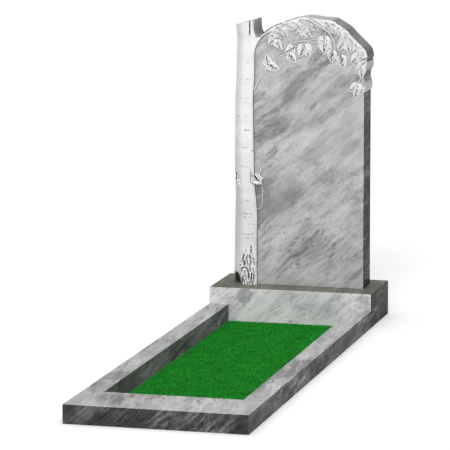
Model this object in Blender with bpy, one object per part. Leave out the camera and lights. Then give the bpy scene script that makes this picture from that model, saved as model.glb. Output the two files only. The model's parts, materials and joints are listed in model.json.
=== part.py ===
"""Upright marble headstone: a slab carved with a birch trunk and leaves, on a plinth, with a grave kerb.

Metres, +Z up, +Y away from the viewer, origin on the ground under the middle of the whole set.
"""
import math

import bmesh
import bpy
from mathutils import Vector

# Kerb set: three bars around the bed, butted against the plinth
SET_WIDTH = 0.700
KERB_LENGTH = 2.020
KERB_HEIGHT = 0.073
SIDE_RAIL_WIDTH = 0.084
FRONT_RAIL_WIDTH = 0.242
ARRIS = 0.002
JOINT = 0.0003

# Turf mat laid in the bed
MAT_THICKNESS = 0.008
MAT_CLEARANCE = 0.002

# Plinth
PLINTH_DEPTH = 0.340
PLINTH_HEIGHT = 0.144

# Slab that carries the carving
STELE_WIDTH = 0.563
STELE_HEIGHT = 1.141
STELE_MIDDLE = 0.0085
STELE_SETBACK = 0.114
FIELD_THICKNESS = 0.133

# Relief, measured forward from the polished field
TRUNK_RELIEF = 0.019
TRUNK_ROUND = 0.058
BAND_RELIEF = 0.010
LEAF_RELIEF = 0.012
LEAF_FOLD = 0.004
BAND_LEAF_RELIEF = 0.017
KEYED_IN = 0.004

# The carving is drawn in millimetres on a sheet of this size, and stretched to the slab
SHEET_WIDTH = 563.0
SHEET_HEIGHT = 1141.0
SHEET_MIDDLE = 8.5

# Trunk on the sheet: (height, left edge, right edge), foot to top
TRUNK_EDGES = [
    (0, -279, -172), (80, -276, -174), (190, -275, -173), (280, -273, -171), (360, -271, -174),
    (430, -272, -180), (560, -275, -185), (680, -275, -189), (815, -272, -189), (870, -269, -185),
    (960, -267, -184), (1050, -264, -184), (1124, -270, -186),
]
TRUNK_TOP_LEFT = 1101.0
TRUNK_TOP_RIGHT = 1125.0
CUT_TILTS_FROM = 0.9
TRUNK_RINGS = 26
TRUNK_CROWN_AT = 0.6
TRUNK_FRONT_STEPS = (0.0, 0.05, 0.13, 0.24, 0.36, 0.48, 0.6, 0.74, 0.86, 0.94, 1.0)
TRUNK_SIDE_TAPER = 6.0

# Cracks in the bark: (across, lowest, highest, width, depth in metres); the first splits the sawn top
CRACKS = [
    (-202, 1070, 1164, 6, 0.016), (-251, 4, 62, 5, 0.007), (-240, 34, 118, 5, 0.007),
    (-228, 8, 132, 6, 0.007), (-214, 40, 126, 5, 0.007), (-204, 5, 74, 5, 0.007),
    (-196, 60, 158, 5, 0.007), (-186, 6, 92, 5, 0.007),
]
CRACK_OVERCUT = 0.012
CRACK_TAPER = 0.2

# Hollows: (across, up, half width, half height, forward, half depth in metres)
FOOT_HOLLOW = (-266, 14, 15, 26, -0.010, 0.030)

# Slab outline on the sheet
SLAB_HIDDEN_EDGE = -228.0
SHOULDER = [(-176, 1061), (-160, 1055)]
ARCH = [
    (-134, 1081), (-99, 1104), (-64, 1117), (-24, 1130), (15, 1139), (46, 1141), (94, 1135),
    (143, 1132), (168, 1120), (207, 1096), (236, 1066), (271, 1033), (293, 1010), (302, 983),
]
RIGHT_EDGE = [
    (301, 971), (295, 967), (299, 960), (299, 930), (290, 917), (289, 884), (294, 878),
    (294, 840), (289, 831), (290, 0),
]
FIELD_TOP = [
    (-181, 985), (-176, 1010), (-162, 1036), (-145, 1056), (-118, 1075), (-87, 1090), (-43, 1108),
    (0, 1119), (66, 1121), (132, 1112), (176, 1088), (219, 1065), (245, 1043), (266, 1020),
    (272, 996), (284, 976),
]
CURVE_STEPS = 3

# Sprays of leaves: (across, up, [(turn from straight up, length, width), ...])
SPRAYS = [
    (-116, 944, [(-14, 42, 34), (116, 52, 32)]),
    (-97, 1052, [(-139, 40, 30), (140, 62, 33), (-30, 42, 30), (84, 36, 24)]),
    (-52, 1101, [(153, 52, 35)]),
    (29, 1080, [(-29, 40, 33), (-120, 38, 30), (124, 48, 31), (172, 38, 26), (45, 34, 26)]),
    (68, 1114, [(134, 38, 26)]),
    (121, 1064, [(-154, 56, 28), (180, 77, 42), (152, 62, 32)]),
    (153, 1006, [(-173, 54, 36)]),
    (205, 1053, [(-146, 50, 30), (153, 57, 33)]),
    (191, 985, [(171, 56, 35)]),
    (264, 991, [(-136, 50, 32)]),
    (275, 946, [(42, 36, 30), (-147, 42, 25), (174, 54, 34)]),
    (262, 866, [(-128, 48, 32), (137, 40, 28), (-170, 66, 30)]),
    (-14, 1022, [(-122, 46, 34)]),
    (-26, 990, [(144, 52, 32)]),
    (33, 1027, [(-164, 55, 35), (155, 57, 34)]),
]
LEAF_FOOT = 4.0
BAND_LEAVES = 13
BAND_LEAF_LENGTH = 38.0
BAND_LEAF_WIDTH = 20.0
BAND_LEAF_ROWS = ((12.0, 4, 16), (24.0, 30, 58))
LEAF_ROWS = 6
LEAF_SPREAD = 0.58
LEAF_FULLNESS = 0.75

# Twigs: (start and end radius, route on the sheet), their middle a share of the radius before the field
TWIGS = [
    (4.0, 2.2, [(-188, 828), (-162, 872), (-138, 905), (-118, 936), (-114, 946)]),
    (2.6, 2.2, [(-106, 940), (-92, 954), (-76, 975), (-52, 983), (-26, 984)]),
    (3.0, 3.6, [(-60, 1004), (-43, 1024), (0, 1038), (42, 1044), (92, 1037), (118, 1050)]),
    (2.4, 2.6, [(36, 1058), (64, 1051), (100, 1052)]),
    (6.5, 3.2, [(56, 1132), (97, 1113), (132, 1089), (152, 1063), (162, 1036), (165, 1006)]),
    (3.4, 2.4, [(129, 1094), (123, 1080), (121, 1058)]),
    (2.2, 2.8, [(178, 974), (196, 992), (212, 1012)]),
    (3.4, 2.6, [(211, 1082), (208, 1050)]),
    (3.4, 2.4, [(273, 946), (280, 903), (272, 888), (262, 862)]),
    (3.6, 3.0, [(270, 1004), (274, 975), (274, 944)]),
    (3.0, 2.0, [(-150, 446), (-148, 400), (-149, 350), (-156, 328), (-168, 324), (-177, 340)]),
]
TWIG_SIDES = 6
TWIG_STEPS = 3
TWIG_SEAT = 0.5

# Broken branches of the trunk: (start, end, start radius, end radius, lift forward at start and end)
BREAKS = [
    ((-196, 448), (-152, 451), 20, 15, 5, 3),
    ((-164, 452), (-149, 507), 10, 1.5, 7, 1),
    ((-187, 440), (-196, 500), 9, 2.5, 13, 14),
    ((-156, 447), (-122, 460), 11, 1.5, 2, 0),
    ((-256, 452), (-280, 468), 13, 7, -16, -26),
    ((-264, 466), (-238, 414), 7, 1.5, -6, 9),
]
BREAK_HOLLOW = (-172, 459, 8, 13, 0.024, 0.014)
BREAK_SIDES = 8

MARBLE_CARVED = (0.80, 0.80, 0.80)
MARBLE_PLINTH = (0.52, 0.52, 0.51)
MARBLE_KERB = (0.42, 0.42, 0.42)
GRASS_GREEN = (0.012, 0.20, 0.018)

TOTAL_LENGTH = KERB_LENGTH + PLINTH_DEPTH
KERB_FRONT_Y = -TOTAL_LENGTH / 2
PLINTH_FRONT_Y = KERB_FRONT_Y + KERB_LENGTH
PLINTH_BACK_Y = PLINTH_FRONT_Y + PLINTH_DEPTH
FIELD_Y = PLINTH_FRONT_Y + STELE_SETBACK
STELE_FOOT_Z = PLINTH_HEIGHT + JOINT
SHEET_TO_X = STELE_WIDTH / SHEET_WIDTH
SHEET_TO_Z = STELE_HEIGHT / SHEET_HEIGHT


def clear_scene():
    for item in list(bpy.data.objects):
        bpy.data.objects.remove(item, do_unlink=True)


def finish_material(name, colour, roughness):
    """A stone or turf finish as a Principled surface."""
    material = bpy.data.materials.new(name)
    material.use_nodes = True
    shader = material.node_tree.nodes["Principled BSDF"]
    shader.inputs["Base Color"].default_value = (*colour, 1.0)
    shader.inputs["Roughness"].default_value = roughness
    shader.inputs["Metallic"].default_value = 0.0
    return material


def mesh_object(name, points, faces, material=None):
    """A closed mesh from points and faces, with its faces turned outward."""
    mesh = bpy.data.meshes.new(name)
    mesh.from_pydata([tuple(p) for p in points], [], faces)
    shape = bmesh.new()
    shape.from_mesh(mesh)
    bmesh.ops.recalc_face_normals(shape, faces=shape.faces)
    shape.to_mesh(mesh)
    shape.free()
    if material:
        mesh.materials.append(material)
    item = bpy.data.objects.new(name, mesh)
    bpy.context.scene.collection.objects.link(item)
    return item


def skin(rings):
    """Points and faces of a closed skin through rings of equal count, capped at both ends."""
    count = len(rings[0])
    points = [p for ring in rings for p in ring]
    faces = []
    for r in range(len(rings) - 1):
        for i in range(count):
            j = (i + 1) % count
            low, high = r * count, (r + 1) * count
            faces.append((low + i, low + j, high + j, high + i))
    faces.append(tuple(range(count)))
    faces.append(tuple(range(len(points) - count, len(points))))
    return points, faces


def bar(name, low, high, chamfered, material):
    """A stone bar between two corners, its upper edges along `chamfered` ('x' or 'y') taken off."""
    across = 1 if chamfered == "x" else 0
    a0, a1, z0, z1 = low[across], high[across], low[2], high[2]
    outline = [(a0, z0), (a1, z0), (a1, z1 - ARRIS), (a1 - ARRIS, z1), (a0 + ARRIS, z1), (a0, z1 - ARRIS)]
    along = 1 - across
    rings = []
    for end in (low[along], high[along]):
        if chamfered == "x":
            rings.append([(end, a, z) for a, z in outline])
        else:
            rings.append([(a, end, z) for a, z in outline])
    points, faces = skin(rings)
    return mesh_object(name, points, faces, material)


def block(name, low, high, material):
    """A stone block with its arrises taken off all round."""
    item = mesh_object(name, *skin([
        [(low[0], low[1], z), (high[0], low[1], z), (high[0], high[1], z), (low[0], high[1], z)]
        for z in (low[2], high[2])
    ]), material)
    bevel = item.modifiers.new("arris", "BEVEL")
    bevel.width = ARRIS
    bevel.segments = 1
    bevel.limit_method = "ANGLE"
    return item


def sheet(x, z):
    """A place on the carving's drawing, as metres across and up."""
    return (STELE_MIDDLE + (x - SHEET_MIDDLE) * SHEET_TO_X, STELE_FOOT_Z + z * SHEET_TO_Z)


def on_slab(x, z, forward=0.0):
    """A point over the drawing, `forward` metres in front of the polished field."""
    across, up = sheet(x, z)
    return Vector((across, FIELD_Y - forward, up))


def smooth_route(points, steps):
    """A smooth curve through the points, with `steps` pieces to each stretch."""
    route = []
    for i in range(len(points) - 1):
        before = points[max(i - 1, 0)]
        start, end = points[i], points[i + 1]
        after = points[min(i + 2, len(points) - 1)]
        for s in range(steps):
            t = s / steps
            route.append(tuple(
                0.5 * (2 * b + (c - a) * t + (2 * a - 5 * b + 4 * c - d) * t ** 2
                       + (3 * b - a - 3 * c + d) * t ** 3)
                for a, b, c, d in zip(before, start, end, after)
            ))
    route.append(tuple(points[-1]))
    return route


def between(table, height):
    """The trunk's left and right edge at a height on the drawing."""
    if height <= table[0][0]:
        return table[0][1:]
    for (z0, *low), (z1, *high) in zip(table, table[1:]):
        if height <= z1:
            t = (height - z0) / (z1 - z0)
            t = t * t * (3 - 2 * t)
            return [a + (b - a) * t for a, b in zip(low, high)]
    return table[-1][1:]


def trunk_front(share):
    """How far the bark stands before the field, at a share of the trunk's width from its left."""
    if share < TRUNK_CROWN_AT:
        away = (TRUNK_CROWN_AT - share) / TRUNK_CROWN_AT
        return TRUNK_RELIEF - TRUNK_ROUND * (1 - math.sqrt(max(0.0, 1 - away ** 2)))
    away = (share - TRUNK_CROWN_AT) / (1 - TRUNK_CROWN_AT)
    return TRUNK_RELIEF * max(0.2, (1 - away ** 4)) ** 0.25


def cut_height(share):
    """The sloping saw cut of the trunk's top, at a share of its width from the left."""
    return TRUNK_TOP_LEFT + (TRUNK_TOP_RIGHT - TRUNK_TOP_LEFT) * share


def trunk_ring(height):
    """One ring round the trunk, level below and tilting into the saw cut near the top."""
    left, right = between(TRUNK_EDGES, height)
    whole = TRUNK_EDGES[-1][0]
    tilt = max(0.0, (height / whole - CUT_TILTS_FROM) / (1 - CUT_TILTS_FROM))
    outline = [(right, -FIELD_THICKNESS), (left + TRUNK_SIDE_TAPER, -FIELD_THICKNESS)]
    outline += [(left + (right - left) * u, trunk_front(u)) for u in TRUNK_FRONT_STEPS]
    outline.append((right, -KEYED_IN))
    ring = []
    for x, forward in outline:
        top = cut_height((x - left) / (right - left))
        ring.append(on_slab(x, height + (top - whole) * tilt, forward))
    return ring


def trunk():
    whole = TRUNK_EDGES[-1][0]
    return mesh_object("trunk", *skin([trunk_ring(whole * r / TRUNK_RINGS) for r in range(TRUNK_RINGS + 1)]))


def prism(name, outline, forward, backward):
    """The outline on the drawing, drawn out from `forward` to `backward` of the field."""
    rings = [[on_slab(x, z, depth) for x, z in outline] for depth in (forward, -backward)]
    return mesh_object(name, *skin(rings))


def slab_body():
    """The whole slab at the height of the arch band, before the field is cut back."""
    outline = [(SLAB_HIDDEN_EDGE, 0), (SLAB_HIDDEN_EDGE, SHOULDER[0][1] + 1)]
    outline += SHOULDER + smooth_route(ARCH, CURVE_STEPS) + RIGHT_EDGE
    return prism("slab", outline, BAND_RELIEF, FIELD_THICKNESS)


def field_cutter():
    """What is milled away in front of the polished field."""
    beyond = 60.0
    right = RIGHT_EDGE[0][0] + beyond
    outline = [(SLAB_HIDDEN_EDGE - beyond, -beyond), (SLAB_HIDDEN_EDGE - beyond, FIELD_TOP[0][1])]
    outline += smooth_route(FIELD_TOP, CURVE_STEPS)
    outline += [(right, FIELD_TOP[-1][1]), (right, -beyond)]
    return prism("field_cutter", outline, BAND_RELIEF + 0.05, 0.0)


def leaf(name, base, turn, length, width, relief):
    """A pointed birch leaf, folded along its midrib, with its foot keyed into the stone."""
    along = Vector((math.sin(math.radians(turn)), math.cos(math.radians(turn))))
    aside = Vector((along.y, -along.x))
    edge = relief - LEAF_FOLD
    start = Vector(base) - along * LEAF_FOOT
    length += LEAF_FOOT
    rows = []
    for i in range(LEAF_ROWS + 1):
        t = i / LEAF_ROWS
        half = width / 2 * math.sin(math.pi * min(t, 0.999) ** LEAF_SPREAD) ** LEAF_FULLNESS
        rows.append((start + along * length * t, half))
    rim = [(rows[0][0], 0)] + [(p + aside * h, 0) for p, h in rows[1:-1]]
    rim += [(rows[-1][0], 0)] + [(p - aside * h, 0) for p, h in reversed(rows[1:-1])]
    top = [on_slab(p.x, p.y, edge) for p, _ in rim]
    low = [on_slab(p.x, p.y, -KEYED_IN) for p, _ in rim]
    spine = [on_slab(p.x, p.y, relief) for p, _ in rows[1:-1]]
    count = len(rim)
    points = top + low + spine
    faces = [(i, (i + 1) % count, count + (i + 1) % count, count + i) for i in range(count)]
    faces.append(tuple(range(2 * count - 1, count - 1, -1)))
    last = LEAF_ROWS
    for side in (1, -1):
        rim_at = [(side * i) % count for i in range(last + 1)]
        mid = [0] + [2 * count + i for i in range(last - 1)] + [last]
        for i in range(last):
            corners = (rim_at[i], rim_at[i + 1], mid[i + 1], mid[i])
            faces.append(tuple(dict.fromkeys(corners)))
    return mesh_object(name, points, faces)


def leaves():
    found = []
    for x, z, blades in SPRAYS:
        for turn, length, width in blades:
            found.append(leaf("leaf", (x, z), turn, length, width, LEAF_RELIEF + 0.001 * (len(found) % 3)))
    outer = smooth_route(ARCH, CURVE_STEPS)
    for row, (inward, *leans) in enumerate(BAND_LEAF_ROWS):
        for n in range(BAND_LEAVES):
            at = (n + 0.3 + 0.4 * row) / (BAND_LEAVES + 0.6) * (len(outer) - 1)
            i = int(at)
            here = Vector(outer[i]).lerp(Vector(outer[i + 1]), at - i)
            run = (Vector(outer[i + 1]) - Vector(outer[i])).normalized()
            inside = Vector((run.y, -run.x))
            turn = math.degrees(math.atan2(run.x, run.y)) + leans[n % 2]
            found.append(leaf("band_leaf", here + inside * inward, turn, BAND_LEAF_LENGTH, BAND_LEAF_WIDTH,
                              BAND_LEAF_RELIEF + 0.0013 * ((n + row) % 3)))
    return found


def tube(name, route, radii, sides):
    """A round twig of changing thickness through points in space."""
    rings = []
    for i, here in enumerate(route):
        run = (route[min(i + 1, len(route) - 1)] - route[max(i - 1, 0)]).normalized()
        aside = run.cross(Vector((0, 1, 0))).normalized()
        out = aside.cross(run)
        rings.append([
            here + (aside * math.cos(a) + out * math.sin(a)) * radii[i]
            for a in (2 * math.pi * (k + 0.5) / sides for k in range(sides))
        ])
    return mesh_object(name, *skin(rings))


def twigs():
    found = []
    for start, end, route in TWIGS:
        curve = smooth_route(route, TWIG_STEPS)
        last = len(curve) - 1
        radii = [(start + (end - start) * i / last) * SHEET_TO_Z for i in range(last + 1)]
        places = [on_slab(x, z, TWIG_SEAT * radii[i]) for i, (x, z) in enumerate(curve)]
        found.append(tube("twig", places, radii, TWIG_SIDES))
    return found


def breaks():
    """Stubs, horns and torn bark where branches broke off the trunk."""
    found = []
    for (x0, z0), (x1, z1), r0, r1, lift0, lift1 in BREAKS:
        ends = [on_slab(x0, z0, lift0 * SHEET_TO_Z), on_slab(x1, z1, lift1 * SHEET_TO_Z)]
        found.append(tube("break", ends, [r0 * SHEET_TO_Z, r1 * SHEET_TO_Z], BREAK_SIDES))
    return found


def crack(x, low, high, width, depth):
    """A cutter for a V-shaped crack that runs out at both ends."""
    middle = (low + high) / 2
    left, right = between(TRUNK_EDGES, middle)
    surface = trunk_front((x - left) / (right - left))
    rings = []
    for spread, forward in ((2, CRACK_OVERCUT), (1, 0.0), (CRACK_TAPER, -depth)):
        half = width / 2 * spread
        reach = (high - low) / 2 * (1 if spread >= 1 else 1 - CRACK_TAPER)
        rim = [(x, middle - reach), (x + half, middle), (x, middle + reach), (x - half, middle)]
        rings.append([on_slab(a, b, surface + forward) for a, b in rim])
    return mesh_object("crack", *skin(rings))


def hollow(name, x, z, half_width, half_height, forward, half_depth):
    """A rounded hollow, as a faceted egg-shaped cutter."""
    shape = bmesh.new()
    bmesh.ops.create_icosphere(shape, subdivisions=2, radius=1.0)
    middle = on_slab(x, z, forward)
    size = (half_width * SHEET_TO_X, half_depth, half_height * SHEET_TO_Z)
    points = [middle + Vector([c * s for c, s in zip(v.co, size)]) for v in shape.verts]
    faces = [tuple(v.index for v in f.verts) for f in shape.faces]
    shape.free()
    return mesh_object(name, points, faces)


def cuts():
    found = [crack(*sizes) for sizes in CRACKS]
    found.append(hollow("foot_hollow", *FOOT_HOLLOW))
    found.append(hollow("break_hollow", *BREAK_HOLLOW))
    return found


def combine(base, operation, others):
    """Joins the other shapes to the base, or cuts them from it, and removes them."""
    group = bpy.data.collections.new(operation.lower())
    bpy.context.scene.collection.children.link(group)
    for other in others:
        group.objects.link(other)
        bpy.context.scene.collection.objects.unlink(other)
    step = base.modifiers.new(operation.lower(), "BOOLEAN")
    step.operation = operation
    step.solver = "EXACT"
    step.operand_type = "COLLECTION"
    step.collection = group
    step.use_self = operation == "UNION"
    bpy.context.view_layer.update()
    view = base.evaluated_get(bpy.context.evaluated_depsgraph_get())
    result = bpy.data.meshes.new_from_object(view)
    base.modifiers.clear()
    base.data = result
    for other in others:
        bpy.data.objects.remove(other, do_unlink=True)
    bpy.data.collections.remove(group)
    return base


def stele(material):
    body = slab_body()
    combine(body, "DIFFERENCE", [field_cutter()])
    combine(body, "UNION", [trunk()] + breaks() + twigs() + leaves())
    combine(body, "DIFFERENCE", cuts())
    body.name = "stele"
    body.data.name = "stele"
    body.data.materials.clear()
    body.data.materials.append(material)
    return body


def kerb(material):
    half = SET_WIDTH / 2
    rail_front = KERB_FRONT_Y + FRONT_RAIL_WIDTH
    bar("kerb_front", (-half, KERB_FRONT_Y, 0), (half, rail_front, KERB_HEIGHT), "x", material)
    start, end = rail_front + JOINT, PLINTH_FRONT_Y - JOINT
    bar("kerb_left", (-half, start, 0), (-half + SIDE_RAIL_WIDTH, end, KERB_HEIGHT), "y", material)
    bar("kerb_right", (half - SIDE_RAIL_WIDTH, start, 0), (half, end, KERB_HEIGHT), "y", material)


def turf(material):
    half = SET_WIDTH / 2 - SIDE_RAIL_WIDTH - MAT_CLEARANCE
    start = KERB_FRONT_Y + FRONT_RAIL_WIDTH + MAT_CLEARANCE
    end = PLINTH_FRONT_Y - MAT_CLEARANCE
    rings = [[(-half, start, z), (half, start, z), (half, end, z), (-half, end, z)] for z in (0, MAT_THICKNESS)]
    mesh_object("turf_mat", *skin(rings), material)


def main():
    clear_scene()
    kerb(finish_material("kerb_marble", MARBLE_KERB, 0.25))
    turf(finish_material("turf", GRASS_GREEN, 0.9))
    half = SET_WIDTH / 2
    block("plinth", (-half, PLINTH_FRONT_Y, 0), (half, PLINTH_BACK_Y, PLINTH_HEIGHT),
          finish_material("plinth_marble", MARBLE_PLINTH, 0.3))
    stele(finish_material("carved_marble", MARBLE_CARVED, 0.6))


main()
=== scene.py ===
# %% [markdown]
# # A marble headstone carved with a birch trunk
# The real thing is a grave memorial in three kinds of stonework. Sawn kerb rails lie round a small
# bed of artificial grass, a plinth closes the bed at its head, and a slab stands on the plinth. The
# mason left a birch trunk, twigs and leaves standing on the slab, and cut and polished the field
# behind them. The frame that loads here has every block at its true size and place. This script
# gives each block its finish, and carves what the plain blocks leave out.

# %% Load the frame
import json
import math
import random

import bmesh
import bpy
from mathutils import Matrix, Vector, noise

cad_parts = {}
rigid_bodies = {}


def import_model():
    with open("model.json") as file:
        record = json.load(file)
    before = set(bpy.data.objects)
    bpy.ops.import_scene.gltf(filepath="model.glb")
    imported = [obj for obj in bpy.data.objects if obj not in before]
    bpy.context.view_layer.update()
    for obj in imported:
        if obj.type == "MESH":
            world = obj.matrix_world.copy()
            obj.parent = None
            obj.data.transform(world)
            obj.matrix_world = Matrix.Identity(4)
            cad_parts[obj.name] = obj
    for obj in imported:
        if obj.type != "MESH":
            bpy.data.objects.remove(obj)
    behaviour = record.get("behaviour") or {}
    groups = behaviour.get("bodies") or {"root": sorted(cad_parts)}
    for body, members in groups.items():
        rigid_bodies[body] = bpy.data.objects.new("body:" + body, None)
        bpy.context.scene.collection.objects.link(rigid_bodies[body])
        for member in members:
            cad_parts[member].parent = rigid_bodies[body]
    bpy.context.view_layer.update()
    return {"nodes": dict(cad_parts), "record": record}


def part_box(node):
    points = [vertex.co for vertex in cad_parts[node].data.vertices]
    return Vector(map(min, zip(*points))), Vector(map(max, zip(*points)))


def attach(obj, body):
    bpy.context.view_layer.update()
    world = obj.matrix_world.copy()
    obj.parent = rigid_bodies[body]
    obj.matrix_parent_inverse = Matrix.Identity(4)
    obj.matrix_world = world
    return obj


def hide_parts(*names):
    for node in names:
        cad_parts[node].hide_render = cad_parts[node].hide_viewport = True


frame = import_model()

print("nodes:", sorted(frame["nodes"]))

# %% [markdown]
# ## The drawing on the stone
# A carver works from a full-size drawing pinned over the slab, and this script does the same. The
# carving is drawn in millimetres: across from the plinth's middle line, up from the slab's foot,
# and forward from the polished field. One small function carries a point of that drawing into the
# frame, so that every number below could be checked with a ruler on the stone.

# %% Places read from the frame
MM = 0.001
stele_low, stele_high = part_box("stele")
plinth_low, plinth_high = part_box("plinth")
MIDDLE_X = (plinth_low.x + plinth_high.x) / 2
FIELD_Y = next(m["pos_m"][1] for m in frame["record"]["mounts"] if m["name"] == "plaque_face")
SLAB_DEPTH = (stele_high.y - FIELD_Y) / MM


def on_stone(across, up, forward=0.0):
    """A point of the drawing, in metres in the frame."""
    return Vector((MIDDLE_X + across * MM, FIELD_Y - forward * MM, stele_low.z + up * MM))


print("polished field at y %.3f m, %.0f mm of slab behind it" % (FIELD_Y, SLAB_DEPTH))

# %% [markdown]
# ## The camera
# The photograph is taken from far off with a long lens, a little to the right of the grave's middle
# and a little above the stone, which keeps the upright edges of the slab almost parallel. The place,
# the three angles and the focal length were solved from straight edges of the kerb and the plinth.

# %% The photograph's camera
CAMERA_PLACE = Vector((3.1357, -11.8514, 2.5855))
CAMERA_YAW = math.radians(15.0696)
CAMERA_PITCH = math.radians(-9.3899)
CAMERA_ROLL = math.radians(-0.0567)
FOCAL_LENGTH_PIXELS = 3162.08
PHOTO_WIDTH_PIXELS = 450
SENSOR_WIDTH = 36.0

ahead = Vector((-math.sin(CAMERA_YAW), math.cos(CAMERA_YAW), math.tan(CAMERA_PITCH))).normalized()
level = Vector((math.cos(CAMERA_YAW), math.sin(CAMERA_YAW), 0.0))
upward = level.cross(ahead)
rightward = level * math.cos(CAMERA_ROLL) + upward * math.sin(CAMERA_ROLL)
camera = bpy.data.objects.new("camera", bpy.data.cameras.new("camera"))
camera.data.sensor_width = SENSOR_WIDTH
camera.data.lens = SENSOR_WIDTH * FOCAL_LENGTH_PIXELS / PHOTO_WIDTH_PIXELS
camera.data.clip_end = 200.0
turn_to_view = Matrix((rightward, rightward.cross(ahead), -ahead)).transposed().to_4x4()
camera.matrix_world = Matrix.Translation(CAMERA_PLACE) @ turn_to_view
bpy.context.scene.collection.objects.link(camera)
bpy.context.scene.camera = camera
print("lens %.0f mm" % camera.data.lens)

# %% [markdown]
# ## Tools for materials
# Every finish here is built from shader nodes on a Principled surface. Three helpers are enough. One
# turns a colour as a paint chart gives it (an sRGB hex value) into the linear numbers that a render
# computes with. One adds a node, sets it and wires its inputs in one line. One starts a new finish.

# %% Colour and node helpers


def linear(colour):
    """An sRGB hex colour such as '#afafaf' as linear red, green, blue and alpha."""
    parts = [int(colour[i:i + 2], 16) / 255 for i in (1, 3, 5)]
    return [p / 12.92 if p <= 0.04045 else ((p + 0.055) / 1.055) ** 2.4 for p in parts] + [1.0]


def node(tree, kind, inputs=None, stops=None, **settings):
    """Adds a node. Inputs are values or other nodes' sockets, and stops are a colour ramp's."""
    made = tree.nodes.new(kind)
    for name, value in settings.items():
        setattr(made, name, value)
    for key, value in (inputs or {}).items():
        if isinstance(value, bpy.types.NodeSocket):
            tree.links.new(value, made.inputs[key])
        else:
            made.inputs[key].default_value = value
    for n, (place, colour) in enumerate(stops or []):
        mark = made.color_ramp.elements[n] if n < 2 else made.color_ramp.elements.new(place)
        mark.position = place
        mark.color = linear(colour)
    return made


def surface(name, roughness):
    """A new material and its Principled shader."""
    material = bpy.data.materials.new(name)
    material.use_nodes = True
    shader = material.node_tree.nodes["Principled BSDF"]
    shader.inputs["Roughness"].default_value = roughness
    return material, shader


# %% [markdown]
# ## Grey marble
# The stone is a grey banded marble. Its bands are old beds of lime mud, squeezed and tilted, so one
# set of slanting planes shows on every face: rising to the right on the slab, and running along the
# grave on the kerb. A picture of marble wrapped round the blocks would break at each edge. A solid
# pattern doesn't, so the noise below is read in coordinates turned to lie along the beds, long in
# the bed and thin across it. Calcite has an index of refraction near 1.55.

# %% Banded marble as a solid pattern
BED_NORMAL = Vector((-0.65, -0.09, 0.75)).normalized()
BED_ALONG = Vector((BED_NORMAL.z, 0.0, -BED_NORMAL.x)).normalized()
BED_TURN = Matrix((BED_ALONG, BED_NORMAL.cross(BED_ALONG), BED_NORMAL))
# Warps of the beds: spacing, reach in the bed and reach across it, in mm
BED_WARPS = [(160.0, 40.0, 20.0), (42.0, 8.0, 7.0), (12.0, 2.5, 2.2)]
# Layers: length in the bed and thickness across it in mm, detail, the noise that counts as 0 and 1, share
BROAD_LAYERS = [(190.0, 80.0, 3.0, 0.40, 0.60, 0.22), (110.0, 34.0, 2.0, 0.38, 0.62, 0.15)]
FINE_LAYERS = [
    (120.0, 17.0, 3.0, 0.36, 0.64, 0.16), (60.0, 9.0, 2.0, 0.34, 0.66, 0.12),
    (12.0, 9.0, 3.0, 0.25, 0.75, 0.15), (26.0, 10.0, 1.0, 0.57, 0.64, -0.18),
    (90.0, 6.0, 1.0, 0.60, 0.68, 0.12),
]
# The fine layers' mean, taken off while they are made stronger or weaker, and the tone under them all
FINE_MEAN = 0.20
BASE_TONE = 0.10
# The beds run this much further along the grave than across it
BED_STRETCH = 2.4
# Parts of the stone are calm and others streaky: their size in mm, the noise that counts as calm and
# as streaky, and the strength of the fine layers in each
CALM_SIZE = 260.0
CALM_NOISE = (0.38, 0.62)
CALM_RANGE = (0.35, 1.45)
# A patch fades from its middle to its rim between these values of a ball-shaped gradient
STAIN_FADE = (0.05, 0.4)
CALCITE_IOR = 1.55
GRAIN_HEIGHT = 0.12 * MM
# The attribute holds the share of painted shade and dark reflection on the slab's edge
PAINTED_DARK_SHARE = "polish"


def along_the_beds(tree, place):
    """Coordinates turned to lie along the beds, and bent by the warps."""
    bedded = node(tree, "ShaderNodeMapping", {
        "Vector": place, "Rotation": BED_TURN.to_euler(),
    }).outputs["Vector"]
    bent = bedded
    for spacing, along, across in BED_WARPS:
        drift = node(tree, "ShaderNodeTexNoise", {
            "Vector": bedded, "Scale": 1 / (spacing * MM), "Detail": 3.0,
        })
        centred = node(tree, "ShaderNodeVectorMath", {
            0: drift.outputs["Color"], 1: (0.5, 0.5, 0.5),
        }, operation="SUBTRACT").outputs["Vector"]
        bent = node(tree, "ShaderNodeVectorMath", {
            0: centred, 1: (2 * along * MM, 2 * along * MM, 2 * across * MM), 2: bent,
        }, operation="MULTIPLY_ADD").outputs["Vector"]
    return bent


def add_layers(tree, bent, layers, tone):
    """The tone with one layer of beds after another added to it."""
    for length, thickness, detail, low, high, share in layers:
        per_bed = (1 / (length * MM), 1 / (BED_STRETCH * length * MM), 1 / (thickness * MM))
        stretched = node(tree, "ShaderNodeMapping", {"Vector": bent, "Scale": per_bed}).outputs["Vector"]
        layer = node(tree, "ShaderNodeTexNoise", {
            "Vector": stretched, "Scale": 1.0, "Detail": detail, "Roughness": 0.55,
        }).outputs["Fac"]
        shaped = node(tree, "ShaderNodeMapRange", {
            "Value": layer, "From Min": low, "From Max": high,
        }, interpolation_type="SMOOTHSTEP").outputs["Result"]
        tone = node(tree, "ShaderNodeMath", {
            0: shaped, 1: share, 2: tone,
        }, operation="MULTIPLY_ADD").outputs["Value"]
    return tone


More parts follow.
